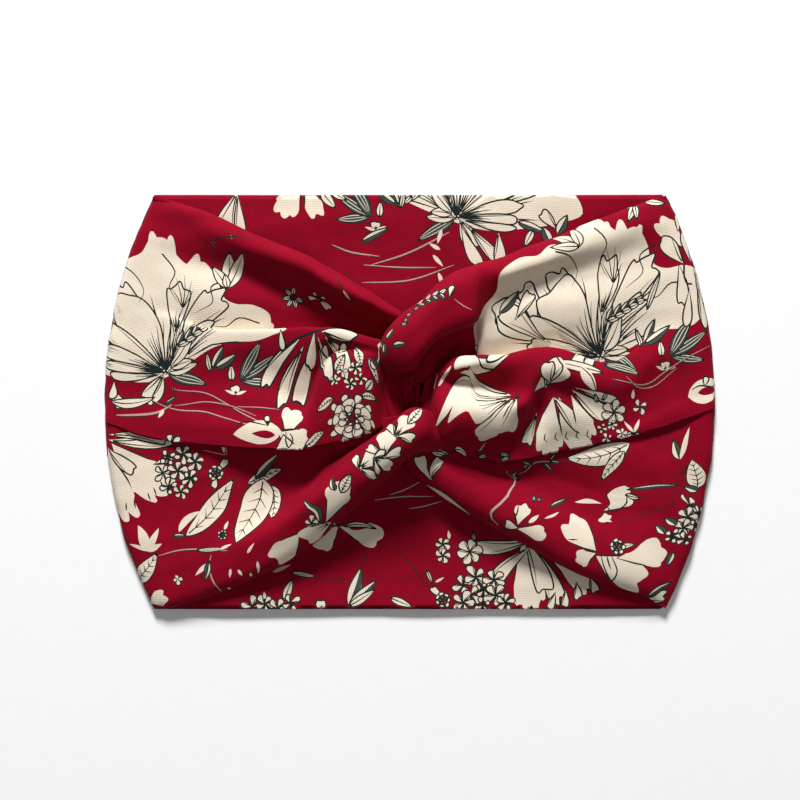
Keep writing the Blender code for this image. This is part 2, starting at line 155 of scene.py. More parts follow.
RIGHT = [
    side_station(1, (81.3, 78, 72, 65, 57, 48, 39, 31, 27, 19, 12, 6, 3, 0, -2.5),
                 (2.6, 3.4, 3.5, 3.5, 3.5, 3.5, 3.6, 3.6, 3.7, 3.8, 4, 4.2, 4.6, 5, 5.2)),
    [(89, 77.6, 5), (89, 76, 7.4), (90, 69, 9), (91, 61, 6.8), (92, 56, 6.5), (94, 48, 6.8),
     (96, 38, 6.8), (98, 30.5, 6.2), (98, 27, 6.8), (99, 19, 8.6), (100, 9, 6.8), (101, 2, 6.4),
     (101, -2, 6.8), (101, -6, 7.2), (101, -9.3, 7)],
    [(72, 71.2, 7), (72.5, 69.8, 10), (74, 63, 12.2), (75, 55, 8.5), (76, 50, 8), (77, 43, 8.5),
     (78, 34, 8.6), (79, 14.2, 6.6), (79, 15.7, 10.2), (80, 7, 13), (80, -2, 9.6), (80, -8, 8.8),
     (80, -11, 8.6), (80, -13, 8.8), (80, -15, 8.2)],
    [(56, 64.3, 9.5), (56.5, 62.8, 13.6), (57.5, 57, 16.4), (58, 50, 11.5), (58.5, 46, 11),
     (59, 40, 12), (59, 31, 12), (58, 18.6, 8.5), (58, 20.7, 15.8), (58, 12.5, 19.5), (58, 4.5, 15),
     (58, -1.5, 15.6), (58, -9.5, 14.5), (58, -14.5, 12.4), (58, -19.5, 10.8)],
    [(50, 62, 11), (50, 60.4, 15.4), (50, 54, 18.4), (50, 47.5, 13), (50, 43, 12.5), (50, 37.5, 13.5),
     (50, 29, 12.6), (50, 19, 9.5), (50, 21.2, 17.4), (50, 14.5, 21), (50, 7.5, 19.5), (50, -2, 13.5),
     (50, -9, 13.2), (50, -16, 13.2), (50, -21.3, 11.6)],
    [(45, 60.4, 12), (45, 58.9, 16.4), (45, 52.6, 19.4), (45, 46, 14), (45, 42, 13.5), (45, 36, 14.5),
     (45, 28, 13.6), (45, 18, 11), (45, 20.6, 18.4), (45, 15.5, 21.2), (45, 4.5, 20.5),
     (44.5, -1.5, 21.8), (45, -9, 15), (45.5, -16.5, 13.4), (46, -22.6, 12)],
    [(36, 56.4, 14.5), (36, 55, 18.8), (36, 49.6, 21.8), (36, 43, 16), (36, 38, 15), (36, 33, 15.5),
     (36, 26, 15.2), (36, 16.4, 12), (36, 18.6, 19.6), (36, 14.5, 21.8), (36, 4, 16.6),
     (36, -2.5, 22.8), (36, -11.5, 20), (36, -14.5, 14), (36, -24, 13)],
    [(27, 54, 16.5), (27, 53, 20.6), (27, 49.5, 23.2), (27.5, 36.5, 20.4), (28, 33, 17.8),
     (28.4, 29.5, 16.4), (28, 24, 14.8), (27, 16.6, 13), (27, 18.3, 20), (27, 14.5, 22.6),
     (27, 7.4, 15.4), (27, -2.5, 24.2), (27, -12, 20.8), (27, -14.8, 15.5), (27, -22.5, 13.8)],
    [(24.4, 52.8, 17.2), (24.4, 50.4, 23.6), (24.4, 43, 24.8), (24.6, 30.6, 23.4), (25, 30.4, 10.4),
     (25.4, 27, 9.4), (25, 22.5, 10.2), (23, 17.4, 14), (23, 17.9, 20), (23, 13.8, 22.4), (23, 8, 16),
     (22.5, -2.5, 24.4), (22.5, -12.4, 20.8), (22.5, -15, 15.8), (22.5, -21.3, 14)],
    [(17, 50.2, 18), (17, 47.6, 24), (17, 41.5, 26.4), (17.5, 27.6, 24), (19, 29.6, 10.8),
     (20, 26.6, 9.2), (19.5, 22.8, 9.4), (18.5, 18.6, 14.5), (17.5, 16.8, 19.4), (17, 12.8, 21.8),
     (17, 8.6, 16.5), (17, -2.5, 24), (17, -12.8, 20.6), (17, -15.3, 16), (17.5, -19.6, 14.2)],
    [(10, 45.2, 18.5), (10, 42.6, 24.5), (10, 36, 27.5), (10.5, 24.2, 24.6), (12.5, 26.2, 10.8),
     (13, 23.5, 9.2), (13, 20, 9.2), (12.5, 16.6, 10.6), (12, 13.8, 14), (11.5, 10.5, 16.6),
     (11, 7, 16), (10, -2, 21), (10, -11.5, 19), (10.5, -14.5, 16.4), (11.5, -18, 14.8)],
    [(4, 39, 18.5), (4, 36.8, 24.5), (3.5, 30, 27.8), (4, 17.6, 25), (7.5, 20, 10.4), (8.5, 18.5, 9),
     (9, 16, 9), (9, 13.5, 9.2), (9, 11, 9.8), (8.8, 8.5, 10.4), (8.5, 5.5, 11), (8, 0, 13),
     (7.5, -6, 15), (8, -10, 14.8), (9, -13, 14.2)],
    [(-2, 35.1, 18), (-2.5, 32.8, 24), (-3, 26, 27.3), (0.5, 13, 23), (4, 14, 11), (5.5, 13, 8.8),
     (6.2, 11.5, 8.6), (6.6, 10, 8.6), (6.8, 8, 8.6), (6.8, 6, 8.8), (6.8, 4, 9.4), (6.5, 1, 10.6),
     (6, -3, 12.6), (6.3, -6, 12.6), (7, -9, 12.6)],
    [(-8.5, 28.8, 16.5), (-8.8, 26.5, 22), (-8.2, 20.5, 24.8), (-4, 12, 20.5), (0, 11.5, 10.4),
     (2.5, 10.5, 8.6), (3.5, 9, 8.4), (4, 7.5, 8.4), (4.4, 6, 8.4), (4.6, 4.5, 8.6), (4.6, 3, 9),
     (4.6, 0.5, 9.8), (4.6, -3, 11.8), (5, -6, 11.8), (5.5, -9, 11.8)],
    [(-12, 21.8, 12.5), (-12.2, 19.8, 17), (-10.6, 15.2, 19.5), (-7.5, 10.5, 16), (-3.5, 9.5, 7.8),
     (-1, 8.8, 6.8), (0.5, 7.5, 6.4), (1.2, 6, 6.4), (1.8, 4.6, 6.4), (2.2, 3, 6.4), (2.4, 1.5, 6.6),
     (2.6, -0.8, 7), (2.8, -4, 7.8), (3.2, -7, 8.6), (3.8, -10, 9.6)],
    [(-11, 15, 9), (-10.6, 13.2, 11.5), (-9.4, 10, 13), (-8, 7, 11), (-5, 6, 8.2), (-3, 5.2, 7.6),
     (-2, 4, 7.4), (-1.2, 3, 7.2), (-0.6, 1.8, 7.2), (0, 0.6, 7.4), (0.4, -0.8, 7.8), (1, -3, 8.6),
     (1.4, -6, 9.4), (2, -8.5, 10.2), (3, -11, 10.8)],
    [(-10.5, 1.5, 8.6), (-9.5, 1, 10.5), (-8.3, 0.4, 11), (-7, 0, 10.5), (-6, -0.6, 10),
     (-5, -1.2, 9.8), (-4, -2, 9.8), (-3, -3, 9.8), (-2.2, -4, 10), (-1.4, -5, 10.2), (-0.6, -6, 10.4),
     (0.4, -7, 10.6), (1.5, -8.5, 10.8), (3, -10, 11), (5, -11.5, 11)],
    [(-7.5, -13, 8.6), (-6, -12.6, 10.5), (-4.5, -12.2, 11.2), (-3, -11.8, 11.2), (-2, -11.5, 10.6),
     (-1, -11.2, 10.2), (0, -11, 10.2), (1, -11, 10.2), (2, -11, 10.4), (3, -11, 10.6),
     (4.2, -11.3, 10.8), (5.5, -11.8, 11), (7, -12.4, 11.2), (9, -13, 11.2), (11, -13.5, 11)],
    [(-2, -25, 8.8), (-0.4, -23.5, 11.2), (1.2, -22, 12.4), (2.8, -20.6, 12.6), (4.2, -19.4, 12),
     (5.6, -18.3, 11.4), (7, -17.5, 11.2), (8.4, -16.8, 11.2), (9.8, -16.2, 11.4), (11.2, -15.6, 11.4),
     (12.6, -15.1, 11.4), (14, -14.6, 11.4), (15.4, -14.2, 11.4), (17, -13.8, 11.2), (18.5, -13.3, 11)],
    [(6, -32, 9), (8, -30, 12), (10, -27.8, 13.4), (12, -25.6, 13.6), (13.6, -23.8, 12.8),
     (15, -22.3, 12), (16.4, -21, 11.6), (17.8, -20, 11.6), (19, -19.2, 11.8), (20.2, -18.4, 11.8),
     (21.4, -17.6, 11.6), (22.6, -16.8, 11.4), (23.8, -16, 11.2), (25, -15.2, 11), (26.5, -14.2, 10.8)],
    [(22, -43.4, 8.6), (24, -41.3, 12), (26.8, -38.6, 13.4), (29, -36, 13.2), (31, -33.4, 12),
     (32.5, -31, 11), (34, -28.8, 8.8), (35, -26.8, 8.4), (36, -25, 8.6), (36.8, -23.2, 9.4),
     (37.4, -21.4, 10.6), (38, -19.6, 10.4), (38.5, -17.8, 10.2), (39, -16, 10), (39.5, -14, 9.8)],
    [(42, -54.4, 7.6), (43.8, -52, 10.8), (46, -48.4, 12), (48, -44.6, 11.6), (50, -41, 10.4),
     (51.2, -37.4, 8.2), (52.2, -34, 7), (53, -31, 6.8), (53.6, -28, 7.4), (54.2, -25, 8.4),
     (54.7, -22, 9.2), (55, -19, 8.8), (55, -16.5, 8.6), (55, -14, 8.5), (55, -11.5, 8.4)],
    [(66, -67.4, 6), (67.5, -64.6, 8.8), (70, -60, 9.8), (72, -55.5, 9.4), (73, -51, 8.4), (74, -46, 7),
     (75, -41, 6.2), (75.6, -36, 6), (76.2, -31, 6.4), (76.8, -26.5, 7), (77, -22, 7.6), (77, -18, 7.1),
     (77, -14, 6.8), (77, -10.5, 6.6), (77, -7.5, 6.4)],
    [(90.5, -75.6, 4.4), (91.2, -73, 6.6), (93, -67.5, 7.4), (95, -61, 7.2), (96.5, -54.5, 6.6),
     (98, -48, 6.1), (99, -41.5, 5.9), (100, -35, 6), (100.5, -29, 6.1), (101, -23, 6), (101, -18, 5.6),
     (101, -13, 5.2), (101, -9, 4.9), (101, -5.5, 4.7), (100.5, -2, 4.5)],
    side_station(1, (-81.3, -79, -73.5, -66, -59, -52, -45, -38, -31, -24.5, -18.5, -12.5, -7.5, -3, 2),
                 (2.6, 3.2, 3.3, 3.3, 3.3, 3.3, 3.3, 3.3, 3.3, 3.3, 3.3, 3.2, 3.1, 3, 3)),
]


def catmull_rom(a, b, c, d, t):
    """The point a share t of the way from b to c on a smooth curve through all four."""
    return 0.5 * (2 * b + (c - a) * t + (2 * a - 5 * b + 4 * c - d) * t * t
                  + (3 * b - a - 3 * c + d) * t ** 3)


def unit(vectors):
    """The vectors in the last axis, at length one."""
    return vectors / np.maximum(np.linalg.norm(vectors, axis=-1, keepdims=True), SMALL)


def distances(steps, axis=0):
    """Running distances along an axis, from zero."""
    return np.insert(np.cumsum(steps, axis=axis), 0, 0, axis=axis)


def refine(values, pieces, axis):
    """Catmull-Rom refinement of an array of points along one axis."""
    values = np.moveaxis(values, axis, 0)
    padded = np.concatenate([2 * values[:1] - values[1:2], values, 2 * values[-1:] - values[-2:-1]])
    out = []
    for index in range(len(values) - 1):
        a, b, c, d = padded[index:index + 4]
        for step in range(pieces[index]):
            out.append(catmull_rom(a, b, c, d, step / pieces[index]))
    out.append(values[-1])
    return np.moveaxis(np.array(out), 0, axis)


def soften(grid, rounds):
    """Moves each point half way to the middle of its neighbours, but leaves the border."""
    grid = grid.copy()
    for _ in range(rounds):
        mean = (grid[:-2, 1:-1] + grid[2:, 1:-1] + grid[1:-1, :-2] + grid[1:-1, 2:]) / 4
        grid[1:-1, 1:-1] += 0.5 * (mean - grid[1:-1, 1:-1])
    return grid


def round_sides(points):
    """Adds two stations beside each side edge, where the doubled cloth rounds over."""
    first, last = points[0].copy(), points[-1].copy()
    first[:, 2] = last[:, 2] = EDGE_LEVEL * MM
    full_round = 3 * MM     # the rounding fades out this near the top and bottom folds
    beside = []
    for edge, inner in ((points[0], points[1]), (points[-1], points[-2])):
        ahead = inner - edge
        length = np.linalg.norm(ahead, axis=1, keepdims=True)
        for inset, rise in ((1.3, 4.3), (4.0, 5.1)):
            place = edge + ahead * (inset * MM / length)
            flank = np.minimum(1.0, np.abs(np.abs(edge[:, 1]) - HALF_WIDTH) / full_round)
            place[:, 2] = np.maximum(place[:, 2], (EDGE_LEVEL + (rise - EDGE_LEVEL) * flank) * MM)
            beside.append(place)
    return np.concatenate([first[None], beside[0][None], beside[1][None], points[1:-1], beside[3][None],
                           beside[2][None], last[None]])


def loop_grid(net):
    """The fine grid of a loop's net, with a hem turned down along its rim."""
    points = round_sides(np.array(net, float) * MM)
    inwards, downwards = 0.45, 0.35
    hem = points[:, :1] + inwards * (points[:, 1:2] - points[:, :1]) * (1, 1, 0)
    hem[..., 2] = points[:, :1, 2] - downwards * (points[:, :1, 2] - HEM_LEVEL * MM)
    points = np.concatenate([hem, points], axis=1)
    spans = (np.linalg.norm(np.diff(points, axis=0), axis=2).mean(axis=1),
             np.linalg.norm(np.diff(points, axis=1), axis=2).max(axis=0))
    for axis in (0, 1):
        pieces = [max(3, int(round(span / (GRID_STEP * MM)))) for span in spans[axis]]
        points = refine(points, pieces, axis)
    return soften(points, 1)


# ------------------------------------------------------------------- cloth coordinates
class Cloth:
    """A fine grid of points in mm, with the flat (along, across) place of each point.

    Places across are measured from the reference column.
    """

    def __init__(self, grid, reference):
        self.points = grid / MM
        self.wrinkle(reference)
        steps = np.linalg.norm(np.diff(self.points, axis=0), axis=2)
        mean = steps.mean(axis=1, keepdims=True)
        # columns keep their own length near the side seams, from 70 to 90 mm out
        nearness = np.clip((np.abs(self.points[:-1, :, :1].mean(axis=1)) - 70) / 20, 0, 1)
        steps = mean + nearness * (np.clip(steps, 0.4 * mean, 1.7 * mean) - mean)
        start = (HALF_LENGTH - side_x(self.points[0, :, 1] * MM)) / MM
        along = distances(steps) + start
        across = distances(np.linalg.norm(np.diff(self.points, axis=1), axis=2), 1)
        across -= across[:, reference:reference + 1]
        self.flat = np.stack([along, across], axis=2)
        self.normals = grid_normals(self.points)
        spacing = np.linalg.norm(np.gradient(self.points, axis=1), axis=2)
        self.depth = soften(np.clip(spacing / BUNCHED, 0.12, 1.0), 6)[..., None]

    def wrinkle(self, reference):
        """Soft creases that run along the cloth, and a finer unevenness."""
        normals = grid_normals(self.points)
        across = distances(np.linalg.norm(np.diff(self.points, axis=1), axis=2), 1)
        along = distances(np.linalg.norm(np.diff(self.points, axis=0), axis=2).mean(axis=1))
        height = np.zeros(self.points.shape[:2])
        for row in range(height.shape[0]):
            for column in range(height.shape[1]):
                u, v = along[row], across[row, column]
                crease = noise.noise((u / 34, v / 7.5, reference))
                swell = noise.noise((u / 70, v / 20, reference + 3))
                finer = noise.noise((u / 7, v / 4, reference + 9))
                height[row, column] = 0.42 * crease + 0.8 * swell + 0.12 * finer
        spacing = np.linalg.norm(np.gradient(self.points, axis=1), axis=2)
        calm = soften(np.clip(spacing / BUNCHED - 0.2, 0, 1), 4)
        self.points = self.points + normals * (height * calm)[..., None]

    def frame_at(self, x, y, reach):
        """The affine map from mm around (x, y) in the top view to flat coordinates.

        It starts at the highest point there, which is the one that shows, and is fitted to
        the cloth within reach of it.
        """
        near = np.hypot(self.points[..., 0] - x, self.points[..., 1] - y)
        height = np.where(near < max(1.6, near.min() + 0.1), self.points[..., 2], -1e3)
        seed = np.unravel_index(np.argmax(height), height.shape)
        away = np.abs(self.flat - self.flat[seed]).max(axis=2)
        window = away < reach
        points = self.points[window]
        normal = self.normals[window].mean(axis=0)
        normal /= np.linalg.norm(normal)
        side = np.cross((0.0, 1.0, 0.0), normal)
        side /= np.linalg.norm(side)
        up = np.cross(normal, side)
        offset = points - self.points[seed]
        known = np.stack([offset @ side, offset @ up, np.ones(len(offset))], axis=1)
        fit = np.linalg.lstsq(known, self.flat[window] - self.flat[seed], rcond=None)[0]
        shift = np.array([x, y]) - self.points[seed][:2]
        return fit[:2], self.flat[seed] + shift @ fit[:2]


def grid_normals(points):
    """Smoothed unit normals of a grid, on the side that faces up on the whole."""
    normals = unit(np.cross(np.gradient(points, axis=0), np.gradient(points, axis=1)))
    normals = unit(soften(normals, 2))
    return -normals if normals[..., 2].mean() < 0 else normals


# ------------------------------------------------------------------------ drawing tools
GROUND, CREAM, INK, LEAF, PALE = range(5)
INK_WEIGHT = 1.25     # how heavy every ink line of the print is


def smooth_line(points, closed=False, step=0.9):
    """A smooth curve through complex points, in mm."""
    points = np.asarray(points, complex)
    if closed:
        points = np.concatenate([points[-1:], points, points[:2]])
    else:
        points = np.concatenate([[2 * points[0] - points[1]], points, [2 * points[-1] - points[-2]]])
    out = []
    for a, b, c, d in zip(points[:-3], points[1:-2], points[2:-1], points[3:]):
        count = max(1, int(math.ceil(abs(c - b) / step)))
        for t in np.arange(count) / count:
            out.append(catmull_rom(a, b, c, d, t))
    if not closed:
        out.append(points[-2])
    return np.array(out)


def turned(angle):
    """A unit complex number at an angle in degrees."""
    return complex(math.cos(math.radians(angle)), math.sin(math.radians(angle)))


def outward(outline):
    """Unit normals of a closed outline that runs anticlockwise."""
    ahead = np.roll(outline, -1) - np.roll(outline, 1)
    return -1j * ahead / np.maximum(np.abs(ahead), SMALL)


def trimmed(inner, outline):
    """An inset outline without the points that came too near another side of the original."""
    ahead = np.roll(outline, -1) - outline
    dense = np.concatenate([outline + ahead * part for part in (0, 0.25, 0.5, 0.75)])
    gaps = np.abs(inner[:, None] - dense[None, :]).min(axis=1)
    kept = inner[gaps > 0.86 * np.abs(inner - outline)]
    return kept if len(kept) > 5 else outline.mean() + 0.3 * (outline - outline.mean())


def petal_outline(length, spread, lobes, wave, bend, phase):
    """A fan with a wavy outer edge, whose point is at zero."""
    count = 16 + 2 * int(length * spread / 45)
    s = np.linspace(-1, 1, count)
    edge = np.clip(1 - np.abs(s) ** 3.2, 0, 1) ** 0.55
    ripple = 1 + wave * np.cos(lobes * math.pi * s + phase) + 0.25 * wave * np.cos(2 * lobes * math.pi * s)
    radius = length * edge * ripple
    return (radius * np.exp(1j * (math.radians(spread) * s + bend * radius / length)))[:-1]


def leaf_outline(length, width, bend=0):
    """A leaf from zero to its tip, curved by bend radians."""
    t = np.linspace(0, 1, 6 + int(length / 2.0))
    half = width / 2 * np.sin(math.pi * t ** 0.85) ** 0.85 * (1.1 - 0.25 * t)
    outline = np.concatenate([t * length - 1j * half, (t * length + 1j * half)[-2:0:-1]])
    return outline * np.exp(1j * bend * outline.real / length)


class Print:
    """Draws flowers on a cloth; later shapes cover earlier ones."""

    def __init__(self, cloth, seed):
        self.cloth = cloth
        self.luck = random.Random(seed)
        self.shapes = []
        self.at(0, 0)

    def at(self, x, y, turn=0, mirror=False, reach=5, drop=0):
        """Moves the pen to (x, y) mm in the top view; drop fits the map that far higher up."""
        self.matrix, self.origin = self.cloth.frame_at(x, y + drop, reach)
        self.origin = self.origin - drop * self.matrix[1]
        self.spin = turned(turn)
        self.mirror = mirror

    def fill(self, outline, colour):
        """A plain shape, its outline given in mm around the pen."""
        local = -np.conj(outline) if self.mirror else outline
        local = local * self.spin
        flat = np.stack([local.real, local.imag], axis=1) @ self.matrix + self.origin
        self.shapes.append((flat, colour))

    def shape(self, outline, fill=CREAM, line=0.5, bare=None):
        """A filled shape with an inked edge; bare says where the edge has no ink."""
        normal = outward(outline) * line * INK_WEIGHT
        self.fill(outline + 0.5 * normal, INK)
        inset = -0.5 if bare is None else -0.5 + 1.2 * bare
        self.fill(trimmed(outline + inset * normal, outline), fill)

    def stroke(self, points, width=0.5, colour=INK, ends="both"):
        """A brush line that narrows at both ends, or only at its tail."""
        line = smooth_line(points, step=2.0)
        t = np.linspace(0, 1, len(line))
        taper = (1.06 - t) ** 0.6 if ends == "tail" else np.sin(math.pi * (0.04 + 0.92 * t)) ** 0.5
        ahead = np.gradient(line)
        normal = 1j * ahead / np.maximum(np.abs(ahead), SMALL)
        if colour == INK:
            width *= INK_WEIGHT
        side = normal * width / 2 * taper
        self.fill(np.concatenate([line - side, (line + side)[::-1]]), colour)

    def petal(self, base, angle, length, spread, lobes=2, wave=0.05, bend=0.0,
              hatch=0, bare=False, crease=0, line=0.5):
        """A fan-shaped petal from its base outwards.

        It has so many short hatch strokes and so many long creases. Bare leaves its outer
        edge without ink.
        """
        phase = self.luck.uniform(0, 6)
        outline = petal_outline(length, spread, lobes, wave, bend, phase)
        tip = None
        if bare:
            tip = np.clip((np.abs(outline) / length - 0.55) * 6, 0, 1)
        self.shape(outline * turned(angle) + base, CREAM, line, tip)
        for index in range(hatch):
            s = (index + 0.5 + self.luck.uniform(-0.3, 0.3)) / hatch * 1.5 - 0.75
            inner = self.luck.uniform(0.06, 0.16)
            outer = self.luck.uniform(0.36, 0.62) * (1 - 0.35 * abs(s))
            radii = np.linspace(inner, outer, 4)
            lean = math.radians(spread) * s * (0.75 + 0.35 * radii)
            path = length * radii * np.exp(1j * (lean + bend * radii))
            self.stroke(path * turned(angle) + base, 0.5, ends="tail")
        for index in range(crease):
            s = (-0.55, 0.5, 0.1)[index]
            radii = np.linspace(0.1, 0.86 - 0.1 * index, 5)
            lean = math.radians(spread) * s * (0.5 + 0.6 * radii)
            path = length * radii * np.exp(1j * (lean + bend * radii))
            self.stroke(path * turned(angle) + base, 0.45, ends="tail")

    def leaf(self, base, angle, length, width, style="cream", bend=0.0):
        """A pointed leaf: cream, plain, pale, dark, half or veined."""
        outline = leaf_outline(length, width, bend)
        body = {"pale": PALE, "dark": LEAF}.get(style, CREAM)
        place = turned(angle)
        if style in ("plain", "pale"):
            self.fill(outline * place + base, body)
            return
        self.shape(outline * place + base, body, 0.42)
        curve = np.linspace(0.05, 0.95, 5)
        spine = curve * length * np.exp(1j * bend * curve)
        if style == "half":
            edge = leaf_outline(length, width * 0.86, bend)[:len(outline) // 2]
            shade = np.concatenate([edge, spine[::-1]])
            self.fill(shade * place + base, LEAF)
        if style == "dark":
            for side in (-0.27, 0.02, 0.28):
                part = np.linspace(0.12, 0.9, 5)
                half = width * side * np.sin(math.pi * part)
                path = (part * length + 1j * half) * np.exp(1j * bend * part)
                self.stroke(path * place + base, 0.28, CREAM)
        else:
            self.stroke(spine * place + base, 0.4, ends="tail")
        if style == "veined":
            for index in range(1, 6):
                part = index / 6.5
                for side in (-1, 1):
                    reach = width * 0.36 * math.sin(math.pi * (part + 0.08))
                    ends = np.array([part, part + 0.1]) * length + np.array([0, 1j * side * reach])
                    self.stroke(ends * np.exp(1j * bend * part) * place + base, 0.34, ends="tail")

    def floret(self, base, size, petals=5, angle=0, spread=34, ink=True):
        """A small open flower seen from above."""
        for index in range(petals):
            length = size * self.luck.uniform(0.85, 1.1)
            self.petal(base, angle + index * 360 / petals, length, spread, 1, 0.05,
                       line=0.42 if size > 3 else 0.26, crease=1 if ink and size > 2.5 else 0)
        if ink:
            self.fill(base + 0.14 * size * np.exp(2j * math.pi * np.arange(7) / 7), INK)

    def rose(self, base, size, rings=3):
        """A tight flower head: rings of short round petals around a whorl."""
        for ring in range(rings, 0, -1):
            count = 3 + 2 * ring
            radius = size * ring / rings
            for index in range(count):
                angle = 360 / count * (index + 0.5 * ring) + self.luck.uniform(-8, 8)
                length = 0.7 * radius * self.luck.uniform(0.85, 1.1)
                self.petal(base + 0.35 * radius * turned(angle), angle, length, 48, 1, 0.06,
                           line=0.4, crease=1 if size > 5 else 0)
        for angle in (0, 130, 250):
            curl = np.array([turned(angle) * r * turned(70 * r) for r in (0.3, 0.7, 1.1)])
            self.stroke(base + 0.2 * size * curl, 0.35)

    def cluster(self, places, size):
        """Florets crowded together with single petals between them."""
        for index, place in enumerate(places):
            count = 5 if index % 3 else 4
            self.floret(place, size * self.luck.uniform(0.8, 1.15), count, self.luck.uniform(0, 90), 32)

    def stem(self, points, width):
        """A thin light line with an inked lower edge."""
        self.stroke(np.asarray(points, complex) - 0.2j, width + 0.15, INK)
        self.stroke(points, width, PALE)


# ------------------------------------------------------------------------- large motifs
# (angle, radius in mm) of the large flower's outer edge
SILHOUETTE = [(0, 6), (20, 30), (28, 46), (35, 51), (42, 47), (47, 41), (54, 39), (62, 43), (71, 46),
              (79, 43),
              (86, 46), (91, 51), (98, 50), (103, 45), (112, 44), (120, 47), (128, 47), (135, 52),
              (143, 54), (150, 50), (158, 52), (166, 51), (173, 52), (179, 50), (184, 38), (190, 26),
              (205, 12)]


def bloom(pen, x, y, mirror=False, drop=0):
    """The print's large flower, seen from its side, with its heart at (x, y)."""
    pen.at(x, y, mirror=mirror, reach=26, drop=drop)
    silhouette = [r * turned(a) for a, r in SILHOUETTE]
    pen.fill(smooth_line(silhouette, True, 1.4), CREAM)
    for angle, length, spread in ((122, 44, 12), (172, 49, 9), (141, 50, 12), (157, 49, 11)):
        pen.petal(0, angle, length, spread, 3, 0.05, 0.05, bare=True)
    pen.petal(-14 + 8j, 146, 30, 16, 2, 0.05, 0.2, crease=2)
    pen.petal(-20 + 9j, 112, 20, 17, 2, 0.05, 0.2, crease=1)
    pen.petal(-16 + 5j, 160, 25, 14, 2, 0.05, -0.1, hatch=3, crease=1)
    pen.petal(0, 96, 50, 13, 3, 0.06, -0.05, bare=True)
    pen.petal(0, 110, 43, 12, 2, 0.05, 0.08, bare=True)
    pen.petal(4 + 2j, 40, 44, 19, 3, 0.05, -0.25, hatch=4, bare=True)
    pen.petal(2, 77, 44, 16, 3, 0.07, 0.0, hatch=6, bare=True)
    pen.petal(1, 118, 37, 12, 2, 0.05, 0.12, crease=2)
    pen.petal(2 + 2j, 62, 37, 14, 3, 0.06, -0.1, hatch=5, crease=1)
    pen.petal(3 + 14j, 78, 20, 24, 3, 0.06, 0.1, hatch=5, crease=1)
    pen.petal(0, 118, 32, 27, 2, 0.04, 0.15, hatch=3)
    pen.petal(4 + 6j, 50, 21, 13, 2, 0.05, -0.15, crease=1)
    pen.petal(0, 143, 29, 13, 2, 0.04, 0.18, crease=1)
    pen.petal(0, 163, 27, 11, 2, 0.04, 0.12, hatch=4)
    pen.petal(0, 180, 25, 8, 1, 0.04, 0.05, hatch=4, crease=1)
    pen.petal(-2 - 1j, 196, 21, 8, 1, 0.05, -0.1, hatch=2)
    pen.petal(-1 - 1j, 232, 13, 24, 2, 0.06, 0.1, crease=2)
    pen.petal(-1 - 1j, 262, 11, 17, 1, 0.05, -0.2, crease=1)
    pen.leaf(1 - 1j, -24, 17, 4.6, "dark", -0.1)
    pen.leaf(1, -8, 12, 4, "cream", 0.15)
    pen.leaf(2 + 1j, 22, 9, 4, "cream", -0.3)
    pen.leaf(2 + 2j, 42, 16, 5, "cream", 0.25)
    for angle, length in ((58, 13), (68, 15), (77, 17), (86, 19), (95, 20), (104, 18), (113, 16),
                          (123, 14)):
        pen.stroke([turned(angle) * r for r in (1.0, 0.5 * length, length)], 0.55, ends="tail")
    for angle in (150, 165, 178, 190):
        pen.stroke([turned(angle) * r for r in (1.0, 5, 9)], 0.5, ends="tail")
    for path in ([-21 + 38j, -14 + 36j, -9 + 30j, -11 + 25j], [-2 + 45j, 3 + 39j, 1 + 33j, 5 + 27j],
                 [24 + 38j, 18 + 34j, 19 + 28j, 12 + 23j], [38 + 25j, 30 + 25j, 25 + 20j, 19 + 19j]):
        pen.stroke(path, 0.5, ends="tail")
    for angle, length in ((52, 8), (66, 11), (82, 13), (98, 12), (116, 9)):
        path = [7 + 25j + turned(angle) * r * turned(9 * r / length)
                for r in (0.5, 0.5 * length, length)]
        pen.stroke(path, 0.42, ends="tail")
    pen.fill(1.3 * np.exp(2j * math.pi * np.arange(8) / 8), INK)
    for angle in (20, 150, 260):
        pen.fill(0.8 * turned(angle) + 0.35 * np.exp(2j * math.pi * np.arange(6) / 6), CREAM)


def fern(pen, x, y, mirror, turn):
    """A feathery row of small leaves."""
    pen.at(x, y, turn, mirror, 6)
    for index in range(5):
        pen.leaf(3.4 * index, 40 - 6 * index, 6.5 - 0.7 * index, 2.2, "half")
        pen.leaf(3.4 * index, -12, 6.5 - 0.7 * index, 2.2, "cream")


def leaf_trio(pen, x, y, mirror):
    """Three dark leaves that share a base."""
    pen.at(x, y, 0, mirror, 8)
    pen.leaf(0, -8, 14, 4, "dark", 0.05)
    pen.leaf(0, 31, 18, 4.4, "dark", 0.05)
    pen.leaf(0, 63, 17.5, 4.8, "dark", -0.05)


def side_leaves(pen, x, y, mirror):
    """Three slender leaves, beside the trio."""
    pen.at(x, y, 0, mirror, 8)
    pen.leaf(0, 70, 11, 3, "half", -0.1)
    pen.leaf(0.8 + 0.3j, 28, 11.5, 3.4, "half", 0.2)
    pen.leaf(-0.6 - 1.4j, 112, 8.5, 2, "cream", -0.2)


def half_flower(pen, x, y, mirror):
    """A small fan-shaped flower between two thin leaves."""
    pen.at(x, y, 0, mirror, 5)
    pen.petal(0, 90, 3.6, 62, 2, 0.06, hatch=3)
    pen.leaf(0, 158, 4.5, 1.2, "plain")
    pen.leaf(0, 18, 4.5, 1.2, "plain")


def spray(pen, x, y, mirror=False):
    """The leaves that always stand beside the large flower."""
    sign = -1 if mirror else 1
    fern(pen, x + sign * 4.7, y + 10, mirror, 32)
    side_leaves(pen, x + sign * 18.5, y + 1, mirror)
    pen.at(x + sign * 26, y - 4, 0, mirror)
    pen.leaf(0, 93, 6.8, 2.8, "cream")
    leaf_trio(pen, x + sign * 29.4, y - 3.4, mirror)
    half_flower(pen, x + sign * 27.5, y - 9, mirror)


